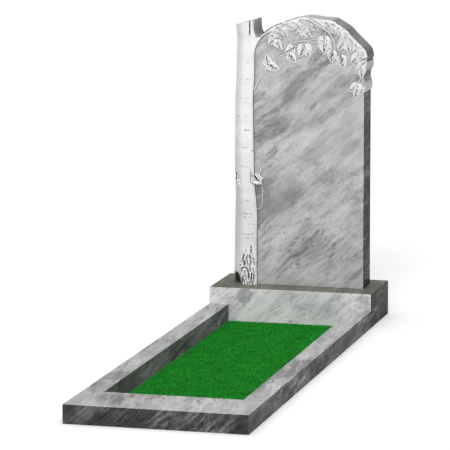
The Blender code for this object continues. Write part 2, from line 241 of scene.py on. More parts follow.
def add_stains(tree, bent, tone, tone_marks):
    """The tone with patches: the pale ones add up, and where dark ones meet the darkest counts."""
    darkest = 0.0
    for centre, length, thickness, strength in tone_marks:
        middle = BED_TURN @ Vector(centre)
        reach = Vector((2 / (length * MM), 1 / (length * MM), 2 / (thickness * MM)))
        local = node(tree, "ShaderNodeMapping", {
            "Vector": bent, "Scale": reach, "Location": [-m * r for m, r in zip(middle, reach)],
        }).outputs["Vector"]
        ball = node(tree, "ShaderNodeTexGradient", {"Vector": local}, gradient_type="SPHERICAL")
        patch = node(tree, "ShaderNodeMapRange", {
            "Value": ball.outputs["Fac"], "From Min": STAIN_FADE[0], "From Max": STAIN_FADE[1],
            "To Max": abs(strength),
        }, interpolation_type="SMOOTHSTEP").outputs["Result"]
        if strength > 0:
            darkest = node(tree, "ShaderNodeMath", {
                0: patch, 1: darkest,
            }, operation="MAXIMUM").outputs["Value"]
        else:
            tone = node(tree, "ShaderNodeMath", {0: tone, 1: patch}, operation="ADD").outputs["Value"]
    if not tone_marks:
        return tone
    return node(tree, "ShaderNodeMath", {0: tone, 1: darkest}, operation="SUBTRACT").outputs["Value"]


def banded_marble(name, roughness, gloss, tones, tone_marks=(), grain=0.0, dark_tones=None):
    """Marble with dark and light tones along its beds; stains are patches at given places.

    With dark_tones, the surface turns to those tones where its attribute "polish" is 1: painted dark
    reflection and painted shade.
    """
    material, shader = surface(name, roughness)
    shader.inputs["IOR"].default_value = CALCITE_IOR
    shader.inputs["Specular IOR Level"].default_value = gloss
    tree = material.node_tree
    place = node(tree, "ShaderNodeTexCoord").outputs["Object"]
    bent = along_the_beds(tree, place)
    fine = add_layers(tree, bent, FINE_LAYERS, -FINE_MEAN)
    broad = add_layers(tree, bent, BROAD_LAYERS, FINE_MEAN + BASE_TONE)
    parts = node(tree, "ShaderNodeTexNoise", {"Vector": place, "Scale": 1 / (CALM_SIZE * MM), "Detail": 1.0})
    strength = node(tree, "ShaderNodeMapRange", {
        "Value": parts.outputs["Fac"], "From Min": CALM_NOISE[0], "From Max": CALM_NOISE[1],
        "To Min": CALM_RANGE[0], "To Max": CALM_RANGE[1],
    }).outputs["Result"]
    tone = node(tree, "ShaderNodeMath", {
        0: fine, 1: strength, 2: broad,
    }, operation="MULTIPLY_ADD").outputs["Value"]
    tone = add_stains(tree, bent, tone, tone_marks)
    colour = node(tree, "ShaderNodeValToRGB", {"Fac": tone}, stops=tones).outputs["Color"]
    if dark_tones:
        dark = node(tree, "ShaderNodeValToRGB", {"Fac": tone}, stops=dark_tones).outputs["Color"]
        share = node(tree, "ShaderNodeAttribute", attribute_name=PAINTED_DARK_SHARE).outputs["Fac"]
        colour = node(tree, "ShaderNodeMix", {0: share, 6: colour, 7: dark}, data_type="RGBA").outputs[2]
    tree.links.new(colour, shader.inputs["Base Color"])
    if grain:
        speck = node(tree, "ShaderNodeTexNoise", {
            "Vector": place, "Scale": 1 / (grain * MM), "Detail": 2.0,
        })
        relief = node(tree, "ShaderNodeBump", {
            "Height": speck.outputs["Fac"], "Strength": 0.35, "Distance": GRAIN_HEIGHT,
        })
        tree.links.new(relief.outputs["Normal"], shader.inputs["Normal"])
    return material


# %% [markdown]
# ## Finishes of the same stone
# The same marble gets different tones on each kind of face. The field of the slab, the kerb's top and the
# plinth's face are honed and pale, and the plinth's face is paler still, partly painted light for the bounce
# that the kerb and the grass keep off it. The other sides are polished, and their dark tones are painted: the
# dark surroundings they would reflect, and the shade on sides turned from the lamps. The inside of the kerb
# and the plinth's top are darkened the same way. Left from the saw it is pale and dull.
# On the honed faces the largest dark and pale patches have set places, after the photograph.

# %% Finishes of the marble
# Patches of the field: (across, up), length and thickness in mm, strength (below 0 is a pale one)
FIELD_STAINS = [(on_stone(*at), *patch) for at, *patch in [
    ((118, 1000), 120, 84, 0.24), ((96, 955), 140, 94, 0.24), ((62, 905), 140, 80, 0.20),
    ((20, 868), 140, 80, 0.20), ((-6, 830), 160, 100, 0.24), ((-36, 786), 100, 60, 0.16),
    ((-119, 722), 140, 60, 0.22), ((-98, 668), 240, 90, 0.24), ((-44, 716), 150, 46, 0.18),
    ((78, 773), 50, 22, 0.26), ((129, 734), 110, 40, 0.18), ((-159, 809), 90, 50, 0.22),
    ((-76, 372), 310, 200, 0.24), ((-134, 282), 180, 90, 0.25), ((-146, 418), 120, 80, 0.22),
    ((118, 458), 260, 60, 0.13), ((82, 214), 180, 42, 0.30), ((10, 145), 150, 32, 0.28),
    ((255, 65), 100, 36, 0.28), ((-47, 97), 100, 28, 0.26), ((147, 132), 70, 16, 0.28),
    ((161, 182), 50, 20, 0.26), ((-112, 557), 140, 40, 0.18), ((211, 866), 70, 20, 0.26),
    ((236, 600), 150, 70, 0.12), ((-20, 590), 320, 120, -0.15), ((-60, 190), 220, 60, -0.12),
    ((170, 300), 260, 60, -0.10), ((200, 720), 180, 70, -0.10), ((-130, 950), 120, 70, -0.07),
]]
# The same for the kerb's top and the plinth's face, with their places in metres in the frame
KERB_STAINS = [
    ((0.308, -0.36, 0.073), 230, 200, 0.22), ((-0.20, -1.06, 0.073), 140, 130, 0.26),
    ((-0.308, -0.65, 0.073), 110, 150, 0.15), ((-0.308, -0.10, 0.073), 230, 200, 0.13),
    ((-0.308, 0.52, 0.073), 170, 170, -0.20), ((0.308, -0.70, 0.073), 70, 120, -0.25),
]
PLINTH_STAINS = [((-0.20, 0.84, 0.11), 100, 80, 0.34), ((0.31, 0.84, 0.11), 90, 80, 0.22)]
field_marble = banded_marble("honed grey marble, slab field", 0.35, 0.2, [
    (0.0, "#7c7c7c"), (0.28, "#999999"), (0.47, "#aeaeae"), (0.66, "#bebebe"), (0.88, "#cccccc"),
], FIELD_STAINS)
honed_marble = banded_marble("honed grey marble, kerb tops", 0.5, 0.06, [
    (0.10, "#7e7e7e"), (0.30, "#969696"), (0.48, "#aeaeae"), (0.68, "#bebebe"), (0.88, "#cecece"),
], KERB_STAINS, grain=1.2)
# Paler than the kerb tops: partly painted light, making up for the bounce that the kerb and the grass keep
# off the plinth's face
plinth_marble = banded_marble("plinth face marble, partly painted light", 0.5, 0.04, [
    (0.10, "#a8a8a8"), (0.30, "#c2c2c2"), (0.48, "#d6d6d6"), (0.68, "#e2e2e2"), (0.88, "#ececec"),
], PLINTH_STAINS, grain=1.2)
# Dark tones for the polished sides: painted dark reflection of the surroundings and painted shade
sides_marble_painted_dark = banded_marble("side marble, painted dark reflection", 0.28, 0.004, [
    (0.10, "#242424"), (0.30, "#343434"), (0.48, "#444444"), (0.66, "#5c5c5c"), (0.86, "#828282"),
])
# The kerb's outer sides get the same painted dark reflection and painted shade
kerb_marble = banded_marble("kerb sides marble, painted dark reflection", 0.28, 0.006, [
    (0.10, "#323232"), (0.30, "#424242"), (0.48, "#585858"), (0.66, "#767676"), (0.86, "#a0a0a0"),
])
# Darker tones for the kerb's inner walls: painted shade
inner_marble = banded_marble("inner kerb marble, painted shade", 0.5, 0.02, [
    (0.10, "#505050"), (0.30, "#646464"), (0.48, "#7c7c7c"), (0.66, "#969696"), (0.86, "#b4b4b4"),
])
# The plinth's top: a brownish cast of its own, darkened by painted dark reflection
ledge_marble = banded_marble("brownish marble ledge, painted dark reflection", 0.3, 0.03, [
    (0.15, "#5c5b53"), (0.50, "#737269"), (0.85, "#86857d"),
])
SAWN_TONES = [(0.15, "#a9a9a9"), (0.50, "#c2c2c2"), (0.85, "#d0d0d0")]
sawn_marble = banded_marble("sawn pale marble", 0.6, 0.2, SAWN_TONES, grain=2.0)
edge_marble = banded_marble("arch edge, painted shade and reflection", 0.5, 0.03, SAWN_TONES, grain=1.6, dark_tones=[
    (0.15, "#3a3a3a"), (0.50, "#4a4a4a"), (0.85, "#5a5a5a"),
])
print("marble finishes:", len([m for m in bpy.data.materials if "marble" in m.name]))

# %% [markdown]
# ## Carved marble
# Carved stone is not polished. The chisel and the abrasive wheel leave it crushed and white. The darkening on
# it is worked out from the carving: while a piece is carved, each point stores how deep it lies in a groove
# and how dark it is to be, in an attribute, and the material darkens by it. Most of it is painted shade, in
# grooves, cracks and hollows, under leaf margins, along the sides of twigs and on sides turned from the
# lamps; over the bark lies a thin veil, darker towards the bottom.

# %% The carved finish
# The attribute holds painted shade in grooves, cracks, hollows and on sides turned from the lamps, and a thin
# veil of darkening on the bark
SHADE_AND_VEIL = "shade_and_veil"
CHISEL_GRAIN = 1.6
CHISEL_HEIGHT = 0.25 * MM
# Faint clouds in the white, to the metre: along the beds, along the grave and across the beds
CLOUDS = (6.0, 6.0, 22.0)


def carved_finish(name, white, shade, shade_and_veil_colour):
    """White carved stone with faint clouds, darkened towards a dark colour by its attribute: mostly painted
    shade, with a thin veil.
    """
    material, shader = surface(name, 0.62)
    shader.inputs["IOR"].default_value = CALCITE_IOR
    shader.inputs["Specular IOR Level"].default_value = 0.25
    tree = material.node_tree
    place = node(tree, "ShaderNodeTexCoord").outputs["Object"]
    bedded = node(tree, "ShaderNodeMapping", {
        "Vector": place, "Rotation": BED_TURN.to_euler(), "Scale": CLOUDS,
    }).outputs["Vector"]
    cloud = node(tree, "ShaderNodeTexNoise", {"Vector": bedded, "Scale": 1.0, "Detail": 4.0})
    tones = node(tree, "ShaderNodeValToRGB", {"Fac": cloud.outputs["Fac"]}, stops=[
        (0.35, shade), (0.6, white),
    ])
    shade_and_veil = node(tree, "ShaderNodeAttribute", attribute_name=SHADE_AND_VEIL).outputs["Fac"]
    fine = node(tree, "ShaderNodeTexNoise", {
        "Vector": place, "Scale": 1 / (CHISEL_GRAIN * MM), "Detail": 3.0,
    }).outputs["Fac"]
    colour = node(tree, "ShaderNodeMix", {
        0: shade_and_veil, 6: tones.outputs["Color"], 7: linear(shade_and_veil_colour),
    }, data_type="RGBA")
    tree.links.new(colour.outputs[2], shader.inputs["Base Color"])
    relief = node(tree, "ShaderNodeBump", {"Height": fine, "Strength": 0.5, "Distance": CHISEL_HEIGHT})
    tree.links.new(relief.outputs["Normal"], shader.inputs["Normal"])
    return material


# The dark colour #262626 is the colour of the painted shade and the veil
carved_marble = carved_finish("carved white marble", "#f2f2f2", "#e8e8e8", "#262626")

# %% [markdown]
# ## Outlines of the slab
# The slab's top isn't a plain arch. It is sawn through along the silhouette of the leaves, so its
# edge swells and dips, and below the right shoulder leaf tips stand out as bumps through the whole
# thickness. A smooth curve through a few points gives such an outline. Each bump is a curve of its
# own, which keeps the sharp corners between the leaf tips.

# %% Outline points and curves
# The slab's left edge, which the trunk hides
SLAB_HIDDEN_EDGE = -222.0
HIDDEN_EDGE_TOP = 1062
SHOULDER = [(-176, 1061), (-160, 1055)]
ARCH = [
    (-134, 1081), (-99, 1104), (-64, 1117), (-24, 1130), (15, 1139), (46, 1141), (94, 1135),
    (143, 1132), (168, 1120), (207, 1096), (236, 1066), (271, 1033), (293, 1010), (302, 983),
]
LEAF_BUMPS = [
    [(302, 983), (301, 971), (295, 967)],
    [(295, 967), (299, 960), (301, 945), (299, 930), (290, 917)],
    [(290, 917), (289, 900), (289, 884), (294, 878)],
    [(294, 878), (296, 860), (294, 840), (289, 831)],
]
RIGHT_FOOT = (290, 0)


def smooth_route(points, steps):
    """A smooth curve through the points, with `steps` pieces to each stretch."""
    route = []
    for i in range(len(points) - 1):
        four = [points[k] for k in (max(i - 1, 0), i, i + 1, min(i + 2, len(points) - 1))]
        for s in range(steps):
            t = s / steps
            weights = (
                (-t + 2 * t ** 2 - t ** 3) / 2, (2 - 5 * t ** 2 + 3 * t ** 3) / 2,
                (t + 4 * t ** 2 - 3 * t ** 3) / 2, (t ** 3 - t ** 2) / 2,
            )
            route.append(tuple(sum(w * p[a] for w, p in zip(weights, four)) for a in range(len(points[0]))))
    return route + [tuple(points[-1])]


def evenly(route, count):
    """The route cut again into `count` equal stretches."""
    lengths = [0.0]
    for a, b in zip(route, route[1:]):
        lengths.append(lengths[-1] + math.dist(a, b))
    found, k = [], 0
    for i in range(count + 1):
        target = lengths[-1] * i / count
        while k < len(route) - 2 and lengths[k + 1] < target:
            k += 1
        t = (target - lengths[k]) / max(lengths[k + 1] - lengths[k], 1e-9)
        found.append(tuple(a + (b - a) * t for a, b in zip(route[k], route[k + 1])))
    return found


slab_outline = [(SLAB_HIDDEN_EDGE, 0), (SLAB_HIDDEN_EDGE, HIDDEN_EDGE_TOP)] + SHOULDER + smooth_route(ARCH, 6)
for bump in LEAF_BUMPS:
    slab_outline += smooth_route(bump, 4)[1:]
slab_outline.append(RIGHT_FOOT)
print("slab outline points:", len(slab_outline))

# %% [markdown]
# ## The slab
# The body is the outline drawn out through the stone's thickness. Each kind of face then gets its finish: the
# field is honed, the straight right side is polished, with dark tones that paint a dark reflection and shade,
# and the back keeps the saw's pale surface. The arched edge is sawn pale too, but it is painted dark except
# where it faces nearly straight up, and in the cuts between the leaf bumps: painted shade and dark
# reflection. A bevel of less than a millimetre takes the cutting edge off.

# %% Build the slab


def item_from(name, points, faces, materials, smooth_angle=35.0):
    """An object from points and faces, faces turned outward, smooth except at sharp corners."""
    mesh = bpy.data.meshes.new(name)
    mesh.from_pydata([tuple(p) for p in points], [], faces)
    shape = bmesh.new()
    shape.from_mesh(mesh)
    bmesh.ops.recalc_face_normals(shape, faces=shape.faces)
    shape.to_mesh(mesh)
    shape.free()
    for material in materials:
        mesh.materials.append(material)
    mesh.shade_smooth()
    mesh.set_sharp_from_angle(angle=math.radians(smooth_angle))
    item = bpy.data.objects.new(name, mesh)
    bpy.context.scene.collection.objects.link(item)
    return item


def skin(rings, around, base=0):
    """Faces of a closed skin through rings of points, with a cap at each end."""
    faces = []
    for r in range(rings - 1):
        for i in range(around):
            a, b = base + r * around + i, base + r * around + (i + 1) % around
            faces.append((a, b, b + around, a + around))
    faces.append(tuple(base + i for i in range(around)))
    faces.append(tuple(base + (rings - 1) * around + i for i in range(around)))
    return faces


def plain_mesh(item):
    """The object's shape with its modifiers carried out, as a new mesh."""
    bpy.context.view_layer.update()
    view = item.evaluated_get(bpy.context.evaluated_depsgraph_get())
    return bpy.data.meshes.new_from_object(view)


def settle(item):
    """Applies the object's modifiers, so that what is left is a plain mesh."""
    mesh = plain_mesh(item)
    item.modifiers.clear()
    item.data = mesh
    return item


def soften(item, width, segments, angle=40.0):
    """Takes the sharp arrises off."""
    step = item.modifiers.new("arris", "BEVEL")
    step.width = width
    step.segments = segments
    step.limit_method = "ANGLE"
    step.angle_limit = math.radians(angle)
    step.use_clamp_overlap = True
    step.harden_normals = True
    return settle(item)


def store(item, name, values):
    """Keeps one number from 0 to 1 for each point of the object, for its finish to read."""
    layer = item.data.attributes.new(name, "FLOAT", "POINT")
    layer.data.foreach_set("value", [min(1.0, max(0.0, v)) for v in values])


def triangles(item):
    """How many triangles the object's faces make."""
    return sum(len(face.vertices) - 2 for face in item.data.polygons)


def between(table, at):
    """The values of a table at a place between two of its rows."""
    for (low, *before), (high, *after) in zip(table, table[1:]):
        if at <= high:
            t = max(0.0, (at - low) / (high - low))
            return [a + (b - a) * t for a, b in zip(before, after)]
    return list(table[-1][1:])


# The edge's painted dark share by the way it faces, in degrees to the right of straight up: painted shade and
# dark reflection
EDGE_TONES = [
    (-180, 1.0), (-21, 1.0), (-16, 0.6), (-11, 0.1), (6, 0.12), (22, 0.5), (45, 0.68), (70, 0.82),
    (180, 0.82),
]
# The same down the leaf bumps, by height: their bellies are pale and the cuts between them painted dark in
# shade
BUMP_TONES = [
    (0, 0.85), (826, 0.85), (838, 0.1), (872, 0.1), (882, 0.5), (900, 0.75), (918, 0.85), (928, 0.2),
    (956, 0.15), (962, 0.8), (974, 0.85), (984, 0.74),
]
BUMPS_FROM, BUMPS_UNDER = 250, 984


def edge_tone(i):
    """How dark the edge is painted at a point of the outline: painted shade and dark reflection."""
    (x0, z0), (x1, z1) = slab_outline[i - 1], slab_outline[(i + 1) % len(slab_outline)]
    x, z = slab_outline[i]
    if x > BUMPS_FROM and z < BUMPS_UNDER:
        return between(BUMP_TONES, z)[0]
    return between(EDGE_TONES, math.degrees(math.atan2(z0 - z1, x1 - x0)))[0]


SLAB_ARRIS = 0.8 * MM
BACK_FORWARD = -SLAB_DEPTH
count = len(slab_outline)
front = [on_stone(x, z, 0.0) for x, z in slab_outline]
back = [on_stone(x, z, BACK_FORWARD) for x, z in slab_outline]
walls = [(i, (i + 1) % count, count + (i + 1) % count, count + i) for i in range(count)]
slab = item_from("stele_slab", front + back, [tuple(range(count)), tuple(range(count, 2 * count))] + walls,
                 [field_marble, sawn_marble, sides_marble_painted_dark, edge_marble])
store(slab, PAINTED_DARK_SHARE, [edge_tone(i) for i in range(count)] * 2)
RIGHT_SIDE_TOP = on_stone(*LEAF_BUMPS[-1][-1]).z
for face in slab.data.polygons:
    if abs(face.normal.y) > 0.9:
        face.material_index = 0 if face.normal.y < 0 else 1
    # The right side below the leaf bumps takes the dark tones: painted dark reflection and painted shade
    elif face.normal.x > 0.9 and face.center.z < RIGHT_SIDE_TOP:
        face.material_index = 2
    else:
        face.material_index = 3
soften(slab, SLAB_ARRIS, 2, 60.0)
print("slab faces:", len(slab.data.polygons))

# %% [markdown]
# ## The leafy band
# Round the arch the field was not cut back all the way. A band of stone about 30 mm wide and 10 mm
# proud stays along the edge. On the left it is plain wood that flows out of the trunk, and from
# there on it is a bed of crowded leaves. It is made as a ribbon between the field's top line and
# the slab's outline: a grid of points lifted by a rule, which is simpler than cutting it.

# %% Build the band
BAND_STATIONS = [
    [(-181, 985), (-176, 1010), (-163, 1038), (-148, 1057)],
    [(-148, 1057), (-119, 1078), (-87, 1092), (-43, 1109), (0, 1119)],
    [(0, 1119), (66, 1121), (132, 1112), (176, 1088)],
    [(176, 1088), (219, 1065), (245, 1043), (266, 1020)],
    [(266, 1020), (272, 996), (284, 976)],
]
BAND_OUTER = [
    [(-192, 985), (-192, 1030), (-190, 1062), (-176, 1061), (-160, 1055)],
    [(-160, 1055), (-134, 1081), (-99, 1104), (-64, 1117), (-24, 1130), (15, 1139)],
    [(15, 1139), (46, 1141), (94, 1135), (143, 1132), (168, 1120), (207, 1096)],
    [(207, 1096), (236, 1066), (271, 1033), (293, 1010)],
    [(293, 1010), (299, 996), (302, 983)],
]
BAND_STEPS = (34, 60, 72, 40, 18)
BAND_ROWS = 16
BAND_RELIEF = 10.0
# Counted from the left, the pairs of points that stay wood, and those over which the leaves begin
WOOD_UNTIL = 40
LEAFY_OVER = 16
TRUNK_RELIEF = 19.0
# Pieces that lie on the field reach this far into it
KEYED_IN = 3.0
# Darkening towards the outer margin of the left shoulder, which at its left end paints the shade in the notch
# between the trunk's stub and the arch: it begins and ends across, and begins upward
SHOULDER_DARK_FROM, SHOULDER_DARK_TO, SHOULDER_DARK_UP = (-184, -177), (-90, 0), (1048, 1056)


def step_between(low, high, value):
    """0 below low, 1 above high, and a smooth step between them."""
    t = min(1.0, max(0.0, (value - low) / (high - low)))
    return t * t * (3 - 2 * t)


def band_ribs():
    """Pairs of points on the band's inner and outer line."""
    pairs = []
    for inner, outer, steps in zip(BAND_STATIONS, BAND_OUTER, BAND_STEPS):
        inside = evenly(smooth_route(inner, 6), steps)
        outside = evenly(smooth_route(outer, 6), steps)
        pairs += list(zip(inside, outside))[0 if not pairs else 1:]
    return pairs


def band_lift(x, z, share, leafy):
    """Height of the band's surface, and its darkening, painted shade in its hollows and in the notch, at a
    share of its width.
    """
    crumple = noise.noise(Vector((x / 11, z / 11, 3.0)))
    folds = abs(noise.noise(Vector((x / 16, z / 16, 9.0))))
    by_trunk = (1 - leafy) * math.exp(-max(0.0, x + 186) / 15)
    lift = BAND_RELIEF + (TRUNK_RELIEF - BAND_RELIEF) * by_trunk
    lift += leafy * (2.4 * crumple - 4.0 * max(0.0, 0.12 - folds) * 8)
    lift -= 3.0 * max(0.0, (share - 0.86) / 0.14) ** 2
    lift -= 2.5 * max(0.0, (0.12 - share) / 0.12) ** 2
    shoulder_darkening = step_between(*SHOULDER_DARK_FROM, x) * (1 - step_between(*SHOULDER_DARK_TO, x)) * step_between(*SHOULDER_DARK_UP, z)
    shoulder_darkening *= step_between(0.3 if x < -120 else 0.62, 0.82, share) * (0.9 + crumple)
    return lift, max(leafy * max(0.0, 0.10 - folds) * 4, shoulder_darkening)


ribs = band_ribs()
points, shade_and_veil = [], []
for i, ((x0, z0), (x1, z1)) in enumerate(ribs):
    leafy = min(1.0, max(0.0, (i - WOOD_UNTIL) / LEAFY_OVER))
    # The wall where the band meets the field is painted dark: painted shade under the band's edge
    ring = [(x0, z0, -KEYED_IN, 1.0), (x0, z0, 1.0, 0.9)]
    for j in range(BAND_ROWS + 1):
        share = j / BAND_ROWS
        x, z = x0 + (x1 - x0) * share, z0 + (z1 - z0) * share
        ring.append((x, z) + band_lift(x, z, share, leafy))
    ring += [(x1, z1, 0.5, ring[-1][3]), (x1, z1, -KEYED_IN, 0.0)]
    points += [on_stone(x, z, lift) for x, z, lift, _ in ring]
    shade_and_veil += [d for *_, d in ring]
faces = skin(len(ribs), BAND_ROWS + 5)
band = item_from("arch_band", points, faces, [carved_marble])
store(band, SHADE_AND_VEIL, shade_and_veil)
print("band faces:", len(faces))

# %% [markdown]
# ## The birch trunk
# The trunk stands 19 mm before the field, turns round its left side and runs up past the slab's
# shoulder to a sloping saw cut. Birch bark is smooth and white, with short dark slits lying across
# it, called lenticels, and near the ground it splits into rough upright plates. All of that is
# relief a chisel could follow, so it is real geometry: a skin of rings, with every point pushed in or
# out along the skin by a rule. A displacement material would look the same but be lost on export.

# %% Shape of the trunk
TRUNK_EDGES = [
    (0, -283, -169), (80, -280, -171), (190, -279, -170), (280, -277.5, -168), (360, -276, -173),
    (430, -277, -180), (560, -279, -183.5), (680, -279, -186), (815, -276, -186), (870, -273, -182),
    (960, -271, -181), (1010, -270, -181), (1040, -269, -177), (1056, -268.5, -173), (1068, -269, -179),
    (1085, -270.5, -184), (1124, -274, -186),
]
TRUNK_HEIGHT = 1124.0
CUT_LEFT = 1101.0
CUT_RIGHT = 1124.6
CUT_TILTS_FROM = 0.9
TRUNK_ROUND = 55.5
TRUNK_CROWN = 2.5
CROWN_AT = 0.75
CORNER_AT = 0.5
SIDE_TAPER = 6.0
BACK_INSET = 0.4
trunk_sides = smooth_route(TRUNK_EDGES, 8)


def trunk_front(share):
    """How far the bark stands before the field, at a share of the trunk's width from its left.

    The front is a low crown, and left of the corner the stone is cut back to the side.
    """
    front = TRUNK_RELIEF - TRUNK_CROWN * ((max(share, CORNER_AT) - CROWN_AT) / (CROWN_AT - CORNER_AT)) ** 2
    if share < CORNER_AT:
        return front - TRUNK_ROUND * ((CORNER_AT - share) / CORNER_AT) ** 1.5
    return front * max(0.2, 1 - max(0.0, (share - CROWN_AT) / (1 - CROWN_AT)) ** 6) ** 0.25


def trunk_profile():
    """Points round the trunk as (share of width, forward, 1 on the bark), from back left to back right."""
    back_at = BACK_FORWARD + BACK_INSET
    side_end = trunk_front(0.0)
    ring = [(0.0, back_at + (side_end - back_at) * k / 20, 1.0) for k in range(20)]
    shares = [CORNER_AT * k / 34 for k in range(34)]
    shares += [CORNER_AT + (1 - CORNER_AT) * k / 49 for k in range(50)]
    ring += [(share, trunk_front(share), 1.0) for share in shares]
    edge = trunk_front(1.0)
    ring += [(1.0, edge - (edge + KEYED_IN) * k / 5, 0.3) for k in range(1, 6)]
    ring += [(1.0, -KEYED_IN + (back_at + KEYED_IN) * k / 12, 0.5) for k in range(1, 13)]
    return ring


profile = trunk_profile()
print("points round the trunk:", len(profile))

# %% [markdown]
# ## Bark
# The marks follow the trunk in the photograph: single slits and pairs high up, two rows of short ones below
# the broken branch, two long wavy lines above the foot. Smaller ones, placed by a seeded random rule, fill
# the sides. Each slit is a groove with a low lip. The upright cracks of the foot are drawn one by one, as
# wandering lines, because their crooked shapes are what tells a birch's foot. A point's distance to the
# nearest line says how deep it lies and how dark it is painted: painted shade in the groove.

# %% Marks of the bark
# Slits: (across, up, half length, half height, depth), in mm
SLITS = [
    (-210, 944, 9, 2.2, 1.6), (-238, 871, 5, 2, 1.2), (-214, 871, 7, 2.6, 1.8), (-202, 870, 5, 2, 1.4),
    (-243, 791, 7, 2.6, 1.8), (-215, 791, 5, 2, 1.4), (-257, 714, 8, 3, 2.2), (-218, 714, 5, 2.4, 1.6),
    (-222, 656, 7, 3, 2.2), (-208, 656, 6, 3, 2.2), (-250, 641, 8, 3, 2.0), (-226, 581, 16, 2.4, 2.0),
    (-192, 568, 5, 3, 2.2), (-236, 501, 15, 2.2, 1.8), (-212, 498, 5, 2.6, 2.0), (-214, 356, 10, 2.4, 2.2),
    (-226, 301, 16, 2.2, 2.0), (-209, 299, 5, 2.6, 2.4), (-196, 300, 6, 2.6, 2.4), (-220, 293, 4, 2.6, 2.2),
    (-225, 285, 6, 2.6, 2.2), (-210, 285, 6, 2.6, 2.2), (-195, 286, 6, 2.6, 2.2), (-205, 256, 6, 2.4, 1.8),
    (-189, 256, 6, 2.4, 1.8), (-222, 211, 24, 2.4, 2.4), (-193, 214, 10, 2.4, 2.0),
    (-216, 197, 20, 2.4, 2.4), (-188, 201, 8, 2.2, 1.8), (-196, 146, 4, 6, 4.0), (-193, 134, 3, 5, 4.0),
]
SLITS = [(x + 4, z + 4.5 * min(1, z / 400), *rest) for x, z, *rest in SLITS]
WILD_SLITS = 90
slit_dice = random.Random(7)
for n in range(WILD_SLITS):
    SLITS.append((
        slit_dice.uniform(-420, -262), slit_dice.uniform(180, 1090), slit_dice.uniform(5, 14),
        slit_dice.uniform(1.4, 2.4), slit_dice.uniform(0.8, 1.8),
    ))
# Cracks: half width, depth, painted shade, and the line as (across, up)
CRACKS = [
    (2.2, 12, 0.75, [(-199, 1160), (-199, 1100), (-199.5, 1082), (-200, 1064)]),
    (1.5, 2.6, 0.75, [(-195, 502), (-195.5, 470), (-195.5, 446), (-187, 434), (-176, 427), (-168, 426)]),
    (2.2, 6, 1.0, [(-224.4, 134), (-225.5, 117), (-229, 106), (-224, 94), (-224, 76)]),
    (2.0, 5, 0.9, [(-218, 71), (-229.8, 71), (-234, 60), (-238, 52)]),
    (2.1, 6, 1.0, [(-216, 74), (-207, 66), (-206, 55), (-203, 44), (-204, 20)]),
    (1.8, 5, 0.8, [(-208, 130), (-212, 114), (-210, 104), (-207, 91), (-208, 82)]),
    (1.8, 5, 0.9, [(-199, 127), (-193.5, 108)]),
    (1.8, 5, 0.8, [(-200, 107), (-193, 96), (-198, 87), (-197, 74), (-195, 54)]),
    (1.7, 4, 0.9, [(-195, 169), (-190, 155)]), (1.8, 4, 0.9, [(-194.5, 151), (-193, 138)]),
    (1.6, 4, 0.8, [(-187, 118), (-178, 104)]), (2.0, 6, 1.0, [(-188, 52), (-191, 38), (-192, 19)]),
    (1.7, 5, 0.9, [(-181.3, 44), (-180.8, 30), (-181.5, 16)]), (1.8, 5, 0.9, [(-194, 18), (-184, 0)]),
    (1.8, 5, 0.9, [(-240, 46), (-241.5, 33)]), (2.4, 7, 1.0, [(-231.5, 31), (-229.5, 21), (-237, -3)]),
    (1.7, 4, 0.8, [(-239.5, 103), (-235.5, 91)]), (2.0, 4, 0.9, [(-242.5, 84), (-241, 77)]),
    (1.5, 4, 0.6, [(-184, 74), (-181, 54)]), (1.5, 4, 0.7, [(-182, 103), (-178.5, 84)]),
    (1.5, 4, 0.7, [(-231, 31), (-224, 36), (-215, 34), (-211, 27)]),
    (1.5, 4, 0.6, [(-217, 150), (-214, 138)]), (1.4, 4, 0.6, [(-219, 62), (-217, 52)]),
    (1.4, 4, 0.6, [(-218, 26), (-214, 18)]), (1.4, 3, 0.5, [(-233, 140), (-232, 128)]),
    (1.5, 4, 0.8, [(-217, 108), (-219, 95), (-216, 84)]), (1.5, 4, 0.8, [(-210, 14), (-208, 0)]),
    (1.5, 4, 0.8, [(-222, 16), (-221, 0)]), (1.4, 4, 0.7, [(-236, 70), (-239, 60)]),
    (1.4, 4, 0.8, [(-200, 12), (-201, 0)]),
]
# Short ones between these, and all on the left side, which isn't in the photograph, are scattered
for low, high, how_many, half in ((-415, -284, 34, 1.9), (-243, -178, 30, 1.1)):
    for n in range(how_many):
        x, z = slit_dice.uniform(low, high), slit_dice.uniform(4, 124)
        reach = slit_dice.uniform(4, 8) * half
        CRACKS.append((half, 2.6 * half, 0.45 * half, [
            (x + slit_dice.uniform(-2, 2) * half, z + k * reach) for k in range(3)]))
crack_lines = []
for half, depth, recess_shade, route in CRACKS:
    line = smooth_route(route, 4)
    box = [min(p[a] for p in line) - 6 for a in (0, 1)] + [max(p[a] for p in line) + 6 for a in (0, 1)]
    crack_lines.append((half, depth, recess_shade, line, box))
ROUGH_FROM = -246.0
FOOT_TOP = 165.0
# Hollows: (across, up, half width, half height, depth, painted shade); the last is a shallow dip with a
# painted shadow under the left splinter
HOLLOWS = [(-264, 2, 25, 44, 13, 1.0), (-271, 459, 10, 17, 8, 1.0), (-256, 405, 20, 40, 1.2, 0.2)]


def crack_at(line, along, up):
    """Distance to a crack's line in mm, and 1 along its length but less near its ends."""
    nearest, place = 99.0, 0.0
    for i, ((x0, z0), (x1, z1)) in enumerate(zip(line, line[1:])):
        dx, dz = x1 - x0, z1 - z0
        t = min(1.0, max(0.0, ((along - x0) * dx + (up - z0) * dz) / (dx * dx + dz * dz)))
        gap = math.hypot(along - x0 - t * dx, up - z0 - t * dz)
        if gap < nearest:
            nearest, place = gap, (i + t) / (len(line) - 1)
    return nearest, min(1.0, 0.35 + 4 * min(place, 1 - place))


